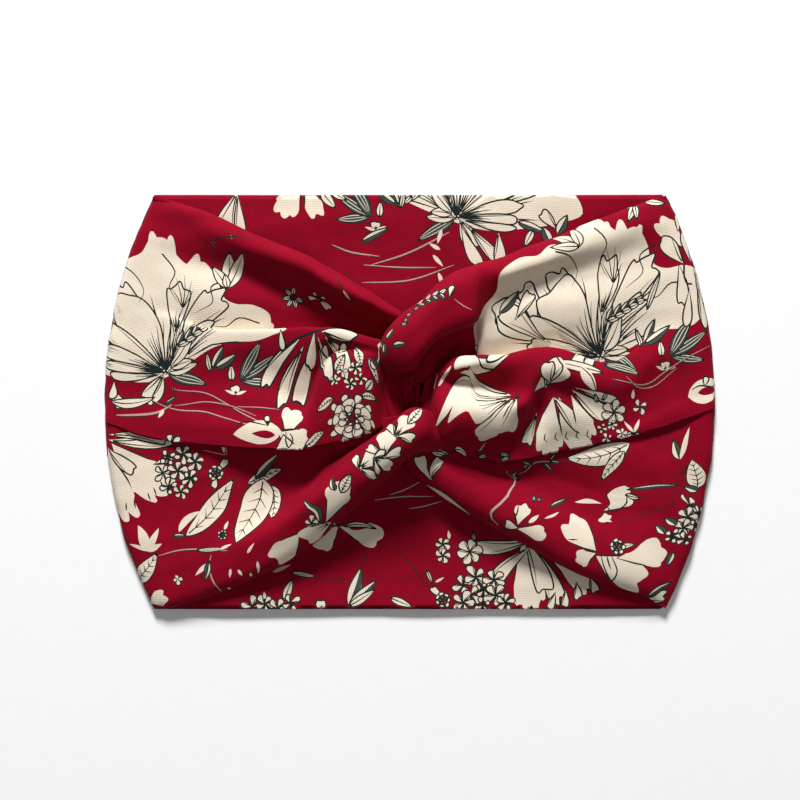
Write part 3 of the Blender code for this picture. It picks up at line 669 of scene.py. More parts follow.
def leaf_group(pen, x, y, leaves):
    """Leaves around one point: (angle, length, width, style, bend)."""
    pen.at(x, y)
    for angle, length, width, style, bend in leaves:
        pen.leaf(0, angle, length, width, style, bend)


def star(pen, x, y, petals, size, turn):
    """A tiny wild flower of loose petals, open on one side."""
    pen.at(x, y, turn)
    for index in range(petals):
        angle = index * 300 / petals
        pen.leaf(0.6 * turned(angle), angle, size, size * 0.42, "cream")


# ---------------------------------------------------------------------- printed meshes
def printed_mesh(name, cloth, drawing, thickness, materials):
    """A shell of jersey that carries the print as real faces on both sides."""
    rows, columns = cloth.points.shape[:2]
    index = np.arange(rows * columns).reshape(rows, columns)
    border = np.concatenate([index[:-1, 0], index[-1, :-1], index[:0:-1, -1], index[0, :0:-1]])
    flat = cloth.flat.reshape(-1, 2)
    if signed_area(flat[border]) < 0:
        border = border[::-1]
    low, high = flat.min(axis=0), flat.max(axis=0)
    coords = [Vector(p) for p in flat.tolist()]
    faces = [border.tolist()]
    colours = [GROUND]
    for outline, colour in drawing.shapes:
        if (outline.max(axis=0) < low).any() or (outline.min(axis=0) > high).any():
            continue
        if signed_area(outline) < 0:
            outline = outline[::-1]
        faces.append(list(range(len(coords), len(coords) + len(outline))))
        coords.extend(Vector(p) for p in outline.tolist())
        colours.append(colour)
    edges = sheared_edges(cloth.flat, index)
    flat_points, _, triangles, _, _, origins = delaunay_2d_cdt(coords, edges, faces, 0, 1e-5, True)
    flat_points = np.array([tuple(p) for p in flat_points])
    spilled = spilled_shapes(flat_points, triangles, origins, faces, coords)
    # shape 0 is the cloth itself; of the others, the last one drawn is on top
    kept = [(face, max(set(source) - spilled))
            for face, source in zip(triangles, origins) if 0 in source]
    faces = np.array([face for face, _ in kept])
    paints = np.array([colours[top] for _, top in kept], dtype=np.int32)
    points, normals, depths = lift(cloth, flat_points)
    return build_shell(name, points, normals, thickness * depths, flat_points / UV_MM,
                       faces, paints, materials)


def sheared_edges(flat, index):
    """Edges of the grid cells that are far from square when laid flat.

    Triangles across such cells would fold over once they are lifted, so their edges are kept.
    """
    ahead = flat[1:, :-1] - flat[:-1, :-1]
    aside = flat[:-1, 1:] - flat[:-1, :-1]
    slant = np.abs((ahead * aside).sum(axis=2))
    slant /= np.linalg.norm(ahead, axis=2) * np.linalg.norm(aside, axis=2) + SMALL
    edges = set()
    for row, column in np.argwhere(slant > 0.55):
        a, b = index[row, column], index[row + 1, column]
        c, d = index[row + 1, column + 1], index[row, column + 1]
        edges.update(((a, b), (d, c), (a, d), (b, c)))
    return [(int(a), int(b)) for a, b in sorted(edges)]


def spilled_shapes(flat_points, triangles, origins, faces, coords):
    """Shapes whose outline crosses itself so that they would cover more than their own box."""
    covered = np.zeros(len(faces))
    corners = flat_points[np.array(triangles)]
    sizes = 0.5 * np.abs(cross2(corners[:, 1] - corners[:, 0], corners[:, 2] - corners[:, 0]))
    for size, source in zip(sizes, origins):
        covered[source] += size
    spilled = set()
    for index in range(1, len(faces)):
        outline = np.array(coords[faces[index][0]:faces[index][-1] + 1])
        if covered[index] > 1.02 * np.prod(outline.max(axis=0) - outline.min(axis=0)):
            spilled.add(index)
    return spilled


def signed_area(outline):
    """Area of a polygon, positive when it runs anticlockwise."""
    ahead = np.roll(outline, -1, axis=0)
    return 0.5 * float(np.sum(outline[:, 0] * ahead[:, 1] - outline[:, 1] * ahead[:, 0]))


def lift(cloth, flat_points):
    """Points, normals and share of the full thickness at flat cloth coordinates."""
    rows, columns = cloth.points.shape[:2]
    index = np.arange(rows * columns).reshape(rows, columns)
    corners = (index[:-1, :-1], index[1:, :-1], index[1:, 1:], index[:-1, 1:])
    a, b, c, d = (part.reshape(-1, 1) for part in corners)
    triangles = np.concatenate([np.concatenate([a, b, c], axis=1), np.concatenate([a, c, d], axis=1)])
    flat = cloth.flat.reshape(-1, 2)
    tree = BVHTree.FromPolygons([(u, v, 0.0) for u, v in flat.tolist()], triangles.tolist())
    hits = [tree.find_nearest((u, v, 0.0)) for u, v in flat_points.tolist()]
    corners = triangles[[hit[2] for hit in hits]]
    where = np.array([hit[0][:2] for hit in hits])
    p, q, r = (flat[corners[:, k]] for k in range(3))
    area = cross2(q - p, r - p)
    second = cross2(where - p, r - p) / area
    third = cross2(q - p, where - p) / area
    weights = np.stack([1 - second - third, second, third], axis=1)[..., None]
    points = (cloth.points.reshape(-1, 3)[corners] * weights).sum(axis=1)
    normals = (cloth.normals.reshape(-1, 3)[corners] * weights).sum(axis=1)
    depths = (cloth.depth.reshape(-1, 1)[corners] * weights).sum(axis=1)
    return points, normals / np.linalg.norm(normals, axis=1, keepdims=True), depths


def cross2(a, b):
    """Cross product of rows of plane vectors."""
    return a[:, 0] * b[:, 1] - a[:, 1] * b[:, 0]


def rim_of(faces, points, normals):
    """Vertices on the open rim, and the direction that points out of the cloth there."""
    ends = np.concatenate([faces[:, [0, 1]], faces[:, [1, 2]], faces[:, [2, 0]]])
    keys = np.sort(ends, axis=1)
    _, first, count = np.unique(keys, axis=0, return_index=True, return_counts=True)
    open_ends = ends[first[count == 1]]
    out = np.zeros_like(points)
    ahead = points[open_ends[:, 1]] - points[open_ends[:, 0]]
    away = np.cross(ahead, normals[open_ends[:, 0]])
    np.add.at(out, open_ends[:, 0], away)
    np.add.at(out, open_ends[:, 1], away)
    rim = np.unique(open_ends)
    return rim, unit(out[rim])


def build_shell(name, points, normals, depths, places, faces, paints, materials):
    """Upper faces from the print, and the same faces again below them, meeting at the rim."""
    used, faces = np.unique(faces, return_inverse=True)
    faces = faces.reshape(-1, 3)
    points, normals, depths, places = (part[used] for part in (points, normals, depths, places))
    first, second, third = (points[faces[:, k]] for k in range(3))
    if (np.cross(second - first, third - first) * normals[faces[:, 0]]).sum() < 0:
        faces = faces[:, ::-1]
    rim, rim_normals = rim_of(faces, points, normals)
    # a face with all its corners on the rim would be the same face above and below
    corner_ears = np.isin(faces, rim).all(axis=1)
    faces, paints = faces[~corner_ears], paints[~corner_ears]
    inner = np.setdiff1d(np.arange(len(points)), rim)
    under = points[inner] - normals[inner] * depths[inner]
    under[:, 2] = np.maximum(under[:, 2], LOWEST)
    below = np.arange(len(points))
    below[inner] = len(points) + np.arange(len(inner))
    every = np.concatenate([points, under])
    lower_faces = below[faces][:, ::-1]
    mesh = bpy.data.meshes.new(name)
    mesh.from_pydata((every * MM).tolist(), [], np.concatenate([faces, lower_faces]).tolist())
    for material in materials:
        mesh.materials.append(material)
    mesh.polygons.foreach_set("material_index", np.concatenate([paints, paints]))
    layer = mesh.uv_layers.new(name="cloth")
    both_sides = np.concatenate([places[faces], places[faces[:, ::-1]]])
    layer.uv.foreach_set("vector", both_sides.ravel())
    mesh.shade_smooth()
    upper = normals.copy()
    upper[rim] = rim_normals
    lower = -normals
    lower[rim] = rim_normals
    both_sides = np.concatenate([upper[faces], lower[faces[:, ::-1]]])
    mesh.normals_split_custom_set(both_sides.reshape(-1, 3).tolist())
    return add_object(name, mesh)


def add_object(name, data):
    """A new object in the scene."""
    added = bpy.data.objects.new(name, data)
    bpy.context.collection.objects.link(added)
    return added


# --------------------------------------------------------------------- the three prints
def print_left(cloth):
    """Where the print's flowers fall on the left loop, in mm of the top view."""
    pen = Print(cloth, 3)
    # upper leg
    bloom(pen, -95.6, 12)
    spray(pen, -95.6, 12)
    leaf_group(pen, -71.3, 44.5, [(82, 15.5, 6, "cream", 0), (57, 18, 5, "cream", 0.1),
                                  (118, 11, 4.5, "cream", 0.1), (98, 6, 3, "cream", 0)])
    pen.at(-77, 62)
    pen.stroke([0.3 - 9j, 0, 7.5 + 3j, 16 + 3.6j], 0.45)
    pen.floret(0, 0.9, 3, 20, ink=False)
    pen.floret(7.5 + 2.8j, 0.9, 3, 80, ink=False)
    star(pen, -45.7, 41, 6, 4.2, 85)
    pen.at(-36.5, 40)
    pen.petal(0, 100, 4, 26)
    pen.petal(0, 165, 4.4, 26)
    pen.petal(0, -55, 6, 30, hatch=2)
    pen.petal(0, 20, 4, 22)
    pen.at(-28.8, 50)
    pen.stroke([0, 0.2 - 7j, 2 - 15j], 0.5)
    pen.leaf(0.5 - 8j, -78, 5, 1, "plain")
    drooping_flower(pen, -36.5, 27.5)
    pen.at(-66.5, 24.5)
    pen.leaf(0, 24, 7, 1.8, "plain", 0.2)
    long_stems(pen)
    striped_petals(pen)
    rose_bush(pen)
    open_flower(pen, -47, -11.5)
    pen.at(-41, -17.5, 33)
    pen.leaf(0, 0, 12.5, 3.6, "veined")
    # lower leg
    edge_flower(pen, -111, -24)
    pen.at(-91, -27)
    pen.cluster([-4 + 5j, 2 + 6.5j, 7 + 3.5j, -6 - 1j, 0j, 5 - 3j, -3 - 6j, 2 - 8j], 3.6)
    pen.at(-93.4, -16.3)
    pen.floret(0, 4, 5, 30)
    pen.at(-76, -27.7)
    pen.petal(1 + 1j, 48, 6, 26)
    pen.petal(-1j, -92, 5, 28)
    pen.rose(0, 3, 2)
    pen.at(-78, -18.8)
    pen.stroke([-3 + 0j, 6 - 1.6j, 5.4 + 3.4j], 0.4, PALE)
    pen.leaf(5.4 - 1j, 100, 5, 1.3, "plain")
    veined_leaves(pen)
    leaf_group(pen, -103.1, -58.5, [(105, 11, 4, "plain", 0.2), (62, 9.5, 3, "plain", 0.1),
                                    (151, 8, 1.5, "plain", 0.2), (25, 6.5, 2.4, "plain", 0)])
    pen.at(-90.5, -51)
    pen.leaf(0, 75, 12.5, 2.8, "plain", -0.6)
    pen.leaf(-2.5 - 1.6j, 5, 5.4, 1.8, "half")
    lower_stems(pen)
    pen.at(-108, -71)
    pen.leaf(0, 38, 15, 7, "veined", 0.2)
    pen.at(-99.6, -77.5)
    pen.petal(-4 - 2j, 25, 8, 38, 3, 0.08, bare=True)
    strand_flowers(pen)
    return pen


def drooping_flower(pen, x, y):
    """A flower that hangs down, between the upper leg and the knot."""
    pen.at(x, y, reach=14)
    pen.petal(-6 - 1j, 205, 17, 13, 2, 0.05, 0.3, crease=1)
    pen.petal(-5 - 3j, 232, 16, 15, 2, 0.05, 0.2, crease=2)
    pen.petal(-1j, -115, 17, 16, 2, 0.04, 0.1, hatch=3)
    pen.petal(4 - 1j, -35, 14, 18, 2, 0.06, -0.2, hatch=3)
    pen.petal(2, -8, 13, 16, 2, 0.05, 0.2, crease=1)
    pen.petal(1 - 1j, -68, 15, 15, 2, 0.05, 0.1, crease=1)
    pen.petal(-1, -95, 9, 28, 2, 0.05)
    pen.stroke([-12 - 3j, -6 - 1j, 0, 4 + 0.5j], 0.6)
    for place, angle in ((-14 + 1j, -70), (6 - 8j, 120), (9 - 7j, 60)):
        pen.petal(place, angle, 5, 24, 1)


def long_stems(pen):
    """Long thin stems across the left loop's upper leg."""
    pen.at(-93, 5, reach=14)
    pen.stem([0, 12 - 3.4j, 24 - 7.5j, 37 - 11.5j, 43 - 15j], 0.45)
    pen.stem([-8 - 5j, 5 - 9j, 19 - 12j, 32 - 12.5j], 0.45)
    pen.stem([1 - 6.5j, 12 - 7j, 25 - 7j, 33 - 8.5j], 0.4)
    pen.stem([25 - 6.5j, 33 - 5j, 42 - 4j], 0.35)
    pen.stem([-22 - 15j, -7 - 10j, 0 - 6j], 0.9)
    pen.leaf(-3 - 8j, -120, 4, 1.6, "plain")
    pen.leaf(-3 - 6j, 35, 6, 1.4, "half")
    pen.floret(0.3 + 0.2j, 0.8, 3, 0, ink=False)
    pen.at(-113, 1, reach=8)
    pen.petal(-4 + 4j, -62, 8, 28, 2, crease=1)
    pen.leaf(-4 - 1j, -12, 17, 4, "cream", 0.3)
    pen.petal(-3 + 7j, -95, 7, 24, 1)


def striped_petals(pen):
    """Striped petals just left of the knot."""
    pen.at(-20, 16, reach=6)
    for place, angle, length in ((-1 + 6j, -75, 9), (4 + 2j, -50, 9), (-9 - 3j, 60, 7)):
        pen.leaf(place, angle, length, 4, "veined")
    pen.at(-10, 20, reach=5)
    for place, angle, length in ((-3 - 4j, 78, 9), (-1 - 3j, 35, 8), (-3 - 5j, 130, 6), (1 - 4j, -5, 6)):
        pen.leaf(place, angle, length, 3, "half")


def rose_bush(pen):
    """A round flower head with its leaves, left of the knot."""
    pen.at(-23, 4, reach=7)
    pen.cluster([-3 + 8j, 2 + 9j, -6 + 5j, 4 + 5j, 0 + 3j], 2.4)
    pen.leaf(-7 - 2j, 175, 8, 4, "veined")
    pen.leaf(6 + 1j, 60, 7, 3, "veined")
    pen.leaf(4 - 2j, 20, 8, 3, "veined")
    pen.at(-22.5, -6.5, reach=7)
    for angle in range(0, 360, 36):
        pen.petal(4 * turned(angle), angle, 6, 26, 1, crease=1)
    pen.rose(0, 7.5, 3)
    pen.at(-8, -4, reach=5)
    pen.leaf(0, 35, 7, 2.6, "plain")
    pen.at(-4, 4, reach=4)
    pen.leaf(0, 10, 6, 3, "veined")


def open_flower(pen, x, y):
    """A loose flower of three petals and a long ring."""
    pen.at(x, y, reach=12)
    pen.petal(-1 - 2j, 75, 11.5, 32, 3, 0.07, bare=True)
    pen.petal(-4, -30, 12, 42, 4, 0.08, bare=True)
    pen.petal(-2 - 1j, -75, 9, 40, 3, 0.06, bare=True)
    pen.stroke([-9 + 1j, -4 + 0.5j, 0.5 + 1j, 4 + 0.6j], 0.55)
    pen.stroke([-1, -0.8 - 3.5j, 0.8 - 6j, 1.8 - 3j, 0.4 - 0.5j], 0.5)
    ring = leaf_outline(18, 8.5, 0.1)
    pen.shape(ring * turned(188) - 3, CREAM, 0.5, np.full(len(ring), 0.8))
    pen.leaf(-9 - 0.6j, 183, 9, 3.2, "plain")
    pen.fill(leaf_outline(9, 3) * turned(186) - 5 - 1.5j, GROUND)
    pen.stroke([-20 - 1j, -16 + 1.8j, -8 + 1.6j], 0.5)
    pen.petal(-8 + 1.5j, 95, 4, 30, 1)


def edge_flower(pen, x, y):
    """A wide flower that the left side seam cuts off."""
    pen.at(x, y, reach=14)
    pen.petal(-6 + 8j, -50, 28, 26, 5, 0.06, 0.1, bare=True)
    pen.petal(-8 + 6j, -78, 28, 22, 4, 0.07, 0.0, bare=True)
    pen.petal(-8 + 9j, -8, 26, 12, 2, 0.04, 0.15, crease=2)
    pen.petal(-8 + 11j, 6, 24, 10, 2, 0.04, -0.2, crease=1)
    pen.petal(-8 + 6j, -42, 14, 18, 2, 0.04, crease=1)
    for angle in (-40, -48, -55, -62, -70, -78):
        pen.stroke([-6 + 8j + 24 * turned(angle), -6 + 8j + 27 * turned(angle - 3)], 0.5)
    pen.petal(10 - 1j, 20, 8, 20, 1, crease=1)


def veined_leaves(pen):
    """The large veined leaves of the left lower leg."""
    pen.at(-75, -42, reach=14)
    pen.leaf(-11.5 - 10j, 44, 30, 8, "veined", 0.1)
    pen.at(-57.5, -30, reach=12)
    pen.leaf(-6 - 2j, 28, 15, 4.6, "veined", -0.1)
    pen.leaf(-3 + 0j, 48, 13, 3.6, "half", 0)
    pen.leaf(2 - 3j, -65, 14, 6, "veined", -0.3)
    pen.leaf(0, -104, 27.5, 12, "veined", -0.1)
    pen.at(-73.5, -52, reach=5)
    pen.rose(0, 1.9, 2)
    pen.leaf(0.5 + 2j, 75, 3.4, 1.4, "plain")


def lower_stems(pen):
    """Curved stems and loose leaves below the veined leaves."""
    pen.at(-82, -60, reach=12)
    pen.stem([-17 - 1.5j, -8.5 + 1.5j, 0.5 + 2.4j, 11 + 1.5j], 0.5)
    pen.leaf(-2 + 2j, 2, 12, 1.8, "dark")
    pen.leaf(8 + 2.2j, 22, 5, 1.2, "plain")
    pen.stem([4.4, 3 - 6j, 4.5 - 11j, 7.5 - 15.5j], 0.6)
    pen.leaf(3 - 3j, 222, 8, 1.6, "plain")
    pen.leaf(3.8 - 2j, 250, 9, 2.2, "half")
    pen.at(-91, -69.5, reach=5)
    pen.floret(0, 2, 4, 10, ink=False, spread=44)
    for x, y, angle, length in ((-70, -65, -90, 3.5), (-67, -65.4, -60, 3), (-59.4, -62, -85, 5.6),
                                (-63.6, -59, 55, 5), (-71, -73, -25, 3.2), (-62, -68.5, 100, 2)):
        pen.at(x, y, reach=4)
        pen.leaf(0, angle, length, 1.2, "plain")


def strand_flowers(pen):
    """Flowers on the rolled strand that passes over the knot."""
    pen.at(-46, -55, reach=9)
    pen.petal(3 + 4j, -128, 14, 34, 3, 0.06, bare=True)
    pen.leaf(3 + 3.6j, 20, 5, 1.4, "half")
    pen.at(-38, -47, reach=7)
    pen.floret(0, 3, 5, 20)
    pen.floret(3.2 - 1.6j, 2.2, 5, 0)
    pen.stroke([-5 + 3j, -2 + 4.5j, 2 + 3j], 0.5)
    pen.at(-31, -50, reach=9)
    pen.petal(-1 + 4j, -118, 12, 28, 2, 0.06, hatch=2, bare=True)
    pen.petal(0 + 4j, -62, 13, 26, 3, 0.06, 0.1, hatch=3, bare=True)
    pen.petal(2 + 4j, -15, 9, 16, 2, 0.05)
    pen.at(-28, -40, reach=9)
    pen.petal(-4 - 7j, 72, 17, 25, 4, 0.06, -0.1, bare=True)
    pen.leaf(-6 - 7j, 100, 12, 3, "half", 0.4)
    pen.at(-26, -32, reach=6)
    pen.leaf(-1 - 3j, 60, 9, 4, "veined")
    pen.leaf(-3 - 2j, 100, 6, 2.4, "half")
    for x, y, turn, size in ((-17, -25, 20, 10), (-9, -19, 60, 11), (-3, -11.5, 35, 10),
                             (-12, -24, -40, 8)):
        pen.at(x, y, turn, reach=7)
        pen.petal(-3, 20, size, 28, 3, 0.06, hatch=3, bare=True)
        pen.petal(-3, -35, size * 0.8, 24, 2, 0.06, crease=1)
        pen.petal(-3, 75, size * 0.7, 24, 2, 0.06, crease=1)
    pen.at(1, -6, 50, reach=5)
    pen.leaf(-3, 0, 10, 4, "veined")


def print_right(cloth):
    """Where the print's flowers fall on the right loop, in mm of the top view."""
    pen = Print(cloth, 8)
    # upper leg
    bloom(pen, 72.3, 18.3, drop=7)
    pen.at(44, 34, reach=12)
    pen.petal(8 - 12j, 128, 21, 20, 2, 0.05, 0.2, crease=2)
    pen.petal(-3 - 2j, 60, 12, 20, 2, 0.05, crease=1)
    pen.leaf(-10 + 1j, 35, 11, 4, "half", 0.2)
    spray(pen, 72.3, 21.5)
    leaf_group(pen, 87.5, 77.5, [(207, 7.5, 2.6, "cream", 0), (-90, 7.2, 2.8, "cream", 0),
                                 (-58, 5.6, 2.4, "cream", 0)])
    pen.at(91, 78.5)
    pen.leaf(0, 25, 9, 2.6, "cream")
    leaf_group(pen, 66, 60.5, [(150, 12, 4.4, "cream", 0.1), (100, 9, 4.5, "cream", 0.1),
                               (183, 12, 3.6, "cream", 0)])
    side_flower(pen)
    pen.at(95.5, 43, reach=6)
    pen.leaf(-3 - 7j, 70, 16, 2.2, "cream")
    # rolled strip and what lies on it
    pen.at(64, 15, reach=6)
    pen.leaf(12 - 4j, 163, 26, 4, "cream", 0.1)
    pen.leaf(2 - 1j, -58, 12, 4.6, "plain")
    pen.stroke([2 - 1j, 6 - 5j, 8.4 - 11j], 0.45)
    pen.at(84, 13, reach=6)
    pen.leaf(-8 + 2.6j, -18, 15, 3.4, "dark")
    pen.stem([-5 - 4j, 2 - 5.4j, 10 - 5.8j, 18 - 2.6j, 26 + 1j, 34 + 3j], 0.45)
    pen.stem([0 - 3j, 6 - 7j, 14 - 6.8j, 22 - 2.4j], 0.4)
    pen.stroke([-4 - 3j, -5.4 - 8j], 0.35)
    ring_flower(pen, 114.5, 3)
    lobe_flowers(pen)
    knot_bits(pen)
    # lower face of the upper leg
    pen.at(79.7, -4, reach=5)
    pen.floret(0, 5, 6, 20)
    pen.leaf(-5 + 5j, 70, 4, 1.5, "cream")
    pen.leaf(-7 + 4j, 110, 4, 1.5, "cream")
    pen.at(90, -2, reach=5)
    pen.floret(0, 3, 4, 30)
    pen.leaf(-3 + 3j, 95, 4, 1.5, "plain")
    leaf_group(pen, 87.5, -12, [(65, 6, 1.4, "plain", 0), (130, 6, 1.2, "plain", 0),
                                (-120, 5, 1.8, "cream", 0), (-160, 7, 2.4, "cream", 0),
                                (-30, 8, 2.4, "cream", 0)])
    pen.at(80, -11, reach=5)
    pen.cluster([-5 + 1j, -1 + 2j, 3 - 1j, -3 - 3j], 2.2)
    # lower leg
    pen.at(75, -23, reach=9)
    pen.leaf(11.5 + 6j, 206, 27, 8.5, "veined", -0.25)
    pen.leaf(9 + 3j, 222, 14, 5, "veined", 0.2)
    leaf_group(pen, 105.8, -22.5, [(118, 8.5, 4, "half", -0.2), (75, 13.5, 2, "plain", -0.1)])
    pen.at(113, -34, reach=6)
    pen.leaf(0, 100, 11.5, 8.5, "veined")
    pen.leaf(0.5 - 1j, 165, 6, 3, "half")
    flower_column(pen)
    sprig(pen)
    buds(pen)
    falling_petals(pen)
    pen.at(97, -77, reach=5)
    pen.petal(-5 + 0j, 5, 8, 30, 3, 0.08, crease=1)
    pen.leaf(-4 + 1.4j, 20, 9, 2.5, "half")
    # bud on the rim below the knot
    pen.at(6, -25, reach=6)
    pen.petal(1 - 5j, 112, 10, 24, 2, 0.04)
    pen.petal(1 - 5j, 62, 9.5, 22, 2, 0.04, crease=1)
    pen.at(12, -36, reach=6)
    pen.leaf(-8 + 5j, -38, 24, 4.6, "half", -0.1)
    pen.leaf(-6 + 4.4j, -45, 18, 2.4, "plain", -0.2)
    for x, y, angle in ((4, -16, 20), (9, -18, -30), (13, -20.5, 160), (1, -18, 200), (9, -14, 80),
                        (17, -19, 30)):
        pen.at(x, y, reach=4)
        pen.leaf(0, angle, 7, 2.6, "cream")
    return pen


def side_flower(pen):
    """The flower that the right side seam cuts off."""
    pen.at(104, 58, reach=14)
    pen.petal(4 + 2j, 128, 15, 26, 3, 0.06, 0.1, bare=True)
    pen.petal(1 + 9j, 80, 7, 30, 2)
    pen.petal(3 - 4j, 128, 13, 26, 2, 0.04, crease=1)
    pen.petal(6 - 3j, 98, 12, 24, 2, 0.05, crease=1)
    pen.petal(1 - 4j, -78, 16, 15, 2, 0.05, -0.1)
    pen.petal(6 - 3j, 62, 14, 24, 2, 0.05, crease=1)
    pen.petal(7 - 6j, -66, 15, 18, 2, 0.05, crease=1)
    pen.petal(5 - 14j, -95, 14, 13, 1, 0.04)
    pen.petal(8 - 12j, -78, 17, 11, 1, 0.04, crease=1)
    pen.stroke([1 + 3j, 3 - 2j, 3 - 9j, 5 - 14j], 0.6)


def ring_flower(pen, x, y):
    """A ring-shaped petal at the right side seam."""
    pen.at(x, y, reach=7)
    ring = leaf_outline(15, 9, 0.1)
    pen.shape(ring * turned(18) - 5 - 1j, CREAM, 0.5, np.full(len(ring), 0.8))
    pen.fill(leaf_outline(9, 3.2) * turned(10) - 1.5 + 0.6j, GROUND)
    pen.stroke([-4 + 1.6j, -1 + 3.4j, 4 + 2.8j, 7 + 4j], 0.5)
    pen.petal(1 + 3j, 80, 4, 28, 1)


def lobe_flowers(pen):
    """The open flower on the knot's front lobe, and its neighbour to the right."""
    pen.at(27, 13.6, reach=9)
    pen.petal(10 - 2j, 172, 20, 20, 2, 0.03, bare=True)
    pen.petal(12 - 1j, 158, 10, 26, 2, 0.04, crease=1)
    pen.stroke([-1 + 4j, 1 - 1j, 6 - 4j], 0.5)
    pen.at(30, 0.5, reach=10)
    pen.petal(9 - 1j, 168, 28, 20, 2, 0.05, 0.1, crease=2)
    pen.petal(9 + 0j, 148, 22, 15, 2, 0.05, crease=1)
    pen.petal(9 - 1j, 196, 24, 23, 2, 0.05, -0.1, hatch=3, bare=True)
    pen.petal(10 - 2j, 222, 21, 20, 2, 0.05, 0.1, crease=1, bare=True)
    pen.petal(11 - 2j, 250, 15, 22, 2, 0.05, crease=1, bare=True)
    pen.stroke([3 + 0.4j, 7 - 0.5j, 11 - 1.5j], 0.6)
    pen.stroke([2 - 1.6j, 7 - 2.4j, 11 - 2.6j], 0.5)
    pen.fill(11 - 2j + 1.1 * np.exp(2j * math.pi * np.arange(7) / 7), INK)
    pen.at(10, 7, reach=5)
    pen.leaf(1 - 1j, 58, 9, 2.2, "plain")
    pen.leaf(-3 - 3j, 85, 6, 1.6, "plain")
    pen.at(58, 4, reach=9)
    pen.petal(-11 + 2j, 38, 15, 30, 2, 0.04, bare=True)
    pen.petal(-6 + 2j, 74, 12, 30, 2, 0.05, crease=2)
    pen.petal(-4 + 4j, 110, 9, 34, 2, 0.05, crease=1)
    pen.at(53, -6, reach=10)
    pen.petal(2 + 8j, -98, 22, 24, 5, 0.05, 0.1, bare=True)
    pen.petal(4 + 8j, -68, 23, 20, 4, 0.06, 0.1, bare=True)
    pen.petal(2 + 8j, -45, 16, 18, 2, 0.05, crease=1)
    pen.petal(-4 + 2j, -112, 14, 16, 2, 0.05, crease=2)
    pen.at(66, -2, reach=10)
    pen.petal(-4 + 7j, -40, 20, 17, 2, 0.05, 0.1, crease=1)
    pen.petal(-3 + 8j, -18, 18, 11, 2, 0.05, crease=1)
    pen.petal(-4 + 5j, -62, 18, 18, 4, 0.06, bare=True)
    for index in range(7):
        pen.at(48 + 4.2 * index, -14.5 + 0.35 * index, reach=4)
        pen.stroke([0.4 + 2j, -0.4j, 1.4 - 1.6j], 0.45)
    for index in range(6):
        pen.at(17 + 4.4 * index, -19.3 - 0.4 * index, reach=4)
        pen.leaf(0, 200 if index % 2 else 20, 4.6, 1.5, "cream")


def knot_bits(pen):
    """Small leaves on the strand that crosses the knot's top."""
    for x, y, angle, length in ((-4, 29.5, 20, 3.6), (-2.4, 33, 45, 4), (0.6, 35.2, 50, 3.6),
                                (-1, 31, 140, 2.6)):
        pen.at(x, y, reach=4)
        pen.leaf(0, angle, length, 1.3, "cream")
    pen.at(7.5, 40.5, reach=5)
    for index in range(4):
        pen.leaf(-5 - 3j + (2.8 + 1.4j) * index, 70 - 8 * index, 4.2, 2, "cream")
        pen.leaf(-5 - 3j + (2.8 + 1.4j) * index, -14, 4, 1.8, "half")
    pen.at(16, 41.5, reach=5)
    pen.petal(-1 - 2j, 80, 5.4, 24, 1, crease=1)
    pen.stroke([1 - 2j, 4 - 4j, 7 - 5j], 0.4, PALE)
    for x, y, angle in ((-9.5, 24, 60), (-7, 21.5, 10), (-11, 21, 130), (-10.5, 18, 75)):
        pen.at(x, y, reach=4)
        pen.leaf(0, angle, 5.6, 2.6, "half")


def flower_column(pen):
    """Crowded florets down the right side seam."""
    pen.at(109, -45, reach=9)
    pen.cluster([2 + 4j, 5 + 1j, 0 + 0j, 4 - 4j, 0 - 5j, -3 - 9j, 2 - 10j], 3.9)
    for place, angle in ((-6 - 8j, 140), (-7 - 12j, 190), (-5 - 15j, 230), (-1 - 16j, 270),
                         (-3 - 4j, 150)):
        pen.leaf(place, angle, 6.5, 3, "half")


def sprig(pen):
    """A twig and a thick stem below the knot's front lobe."""
    pen.at(48, -26, reach=7)
    pen.stem([-4 - 2.6j, 1 + 2.4j, 9 + 2.6j], 0.6)
    for place, angle, length in ((-4 - 2j, 200, 5), (-4 - 1j, 55, 6), (0 + 1.6j, 160, 6),
                                 (4 + 2.4j, -40, 6), (7 + 2.6j, -5, 5), (7 + 3j, 40, 4)):
        pen.leaf(place, angle, length, 1.5, "half")
    pen.at(38, -36, reach=7)
    pen.stem([6 + 7j, 0 - 0.5j, -6.4 - 8j, -5 - 12j], 1.0)
    pen.at(49, -38, reach=4)
    pen.leaf(-0.8 - 1j, 75, 3.4, 1.3, "cream")
    pen.leaf(0.8 - 1j, 50, 3, 1.2, "cream")


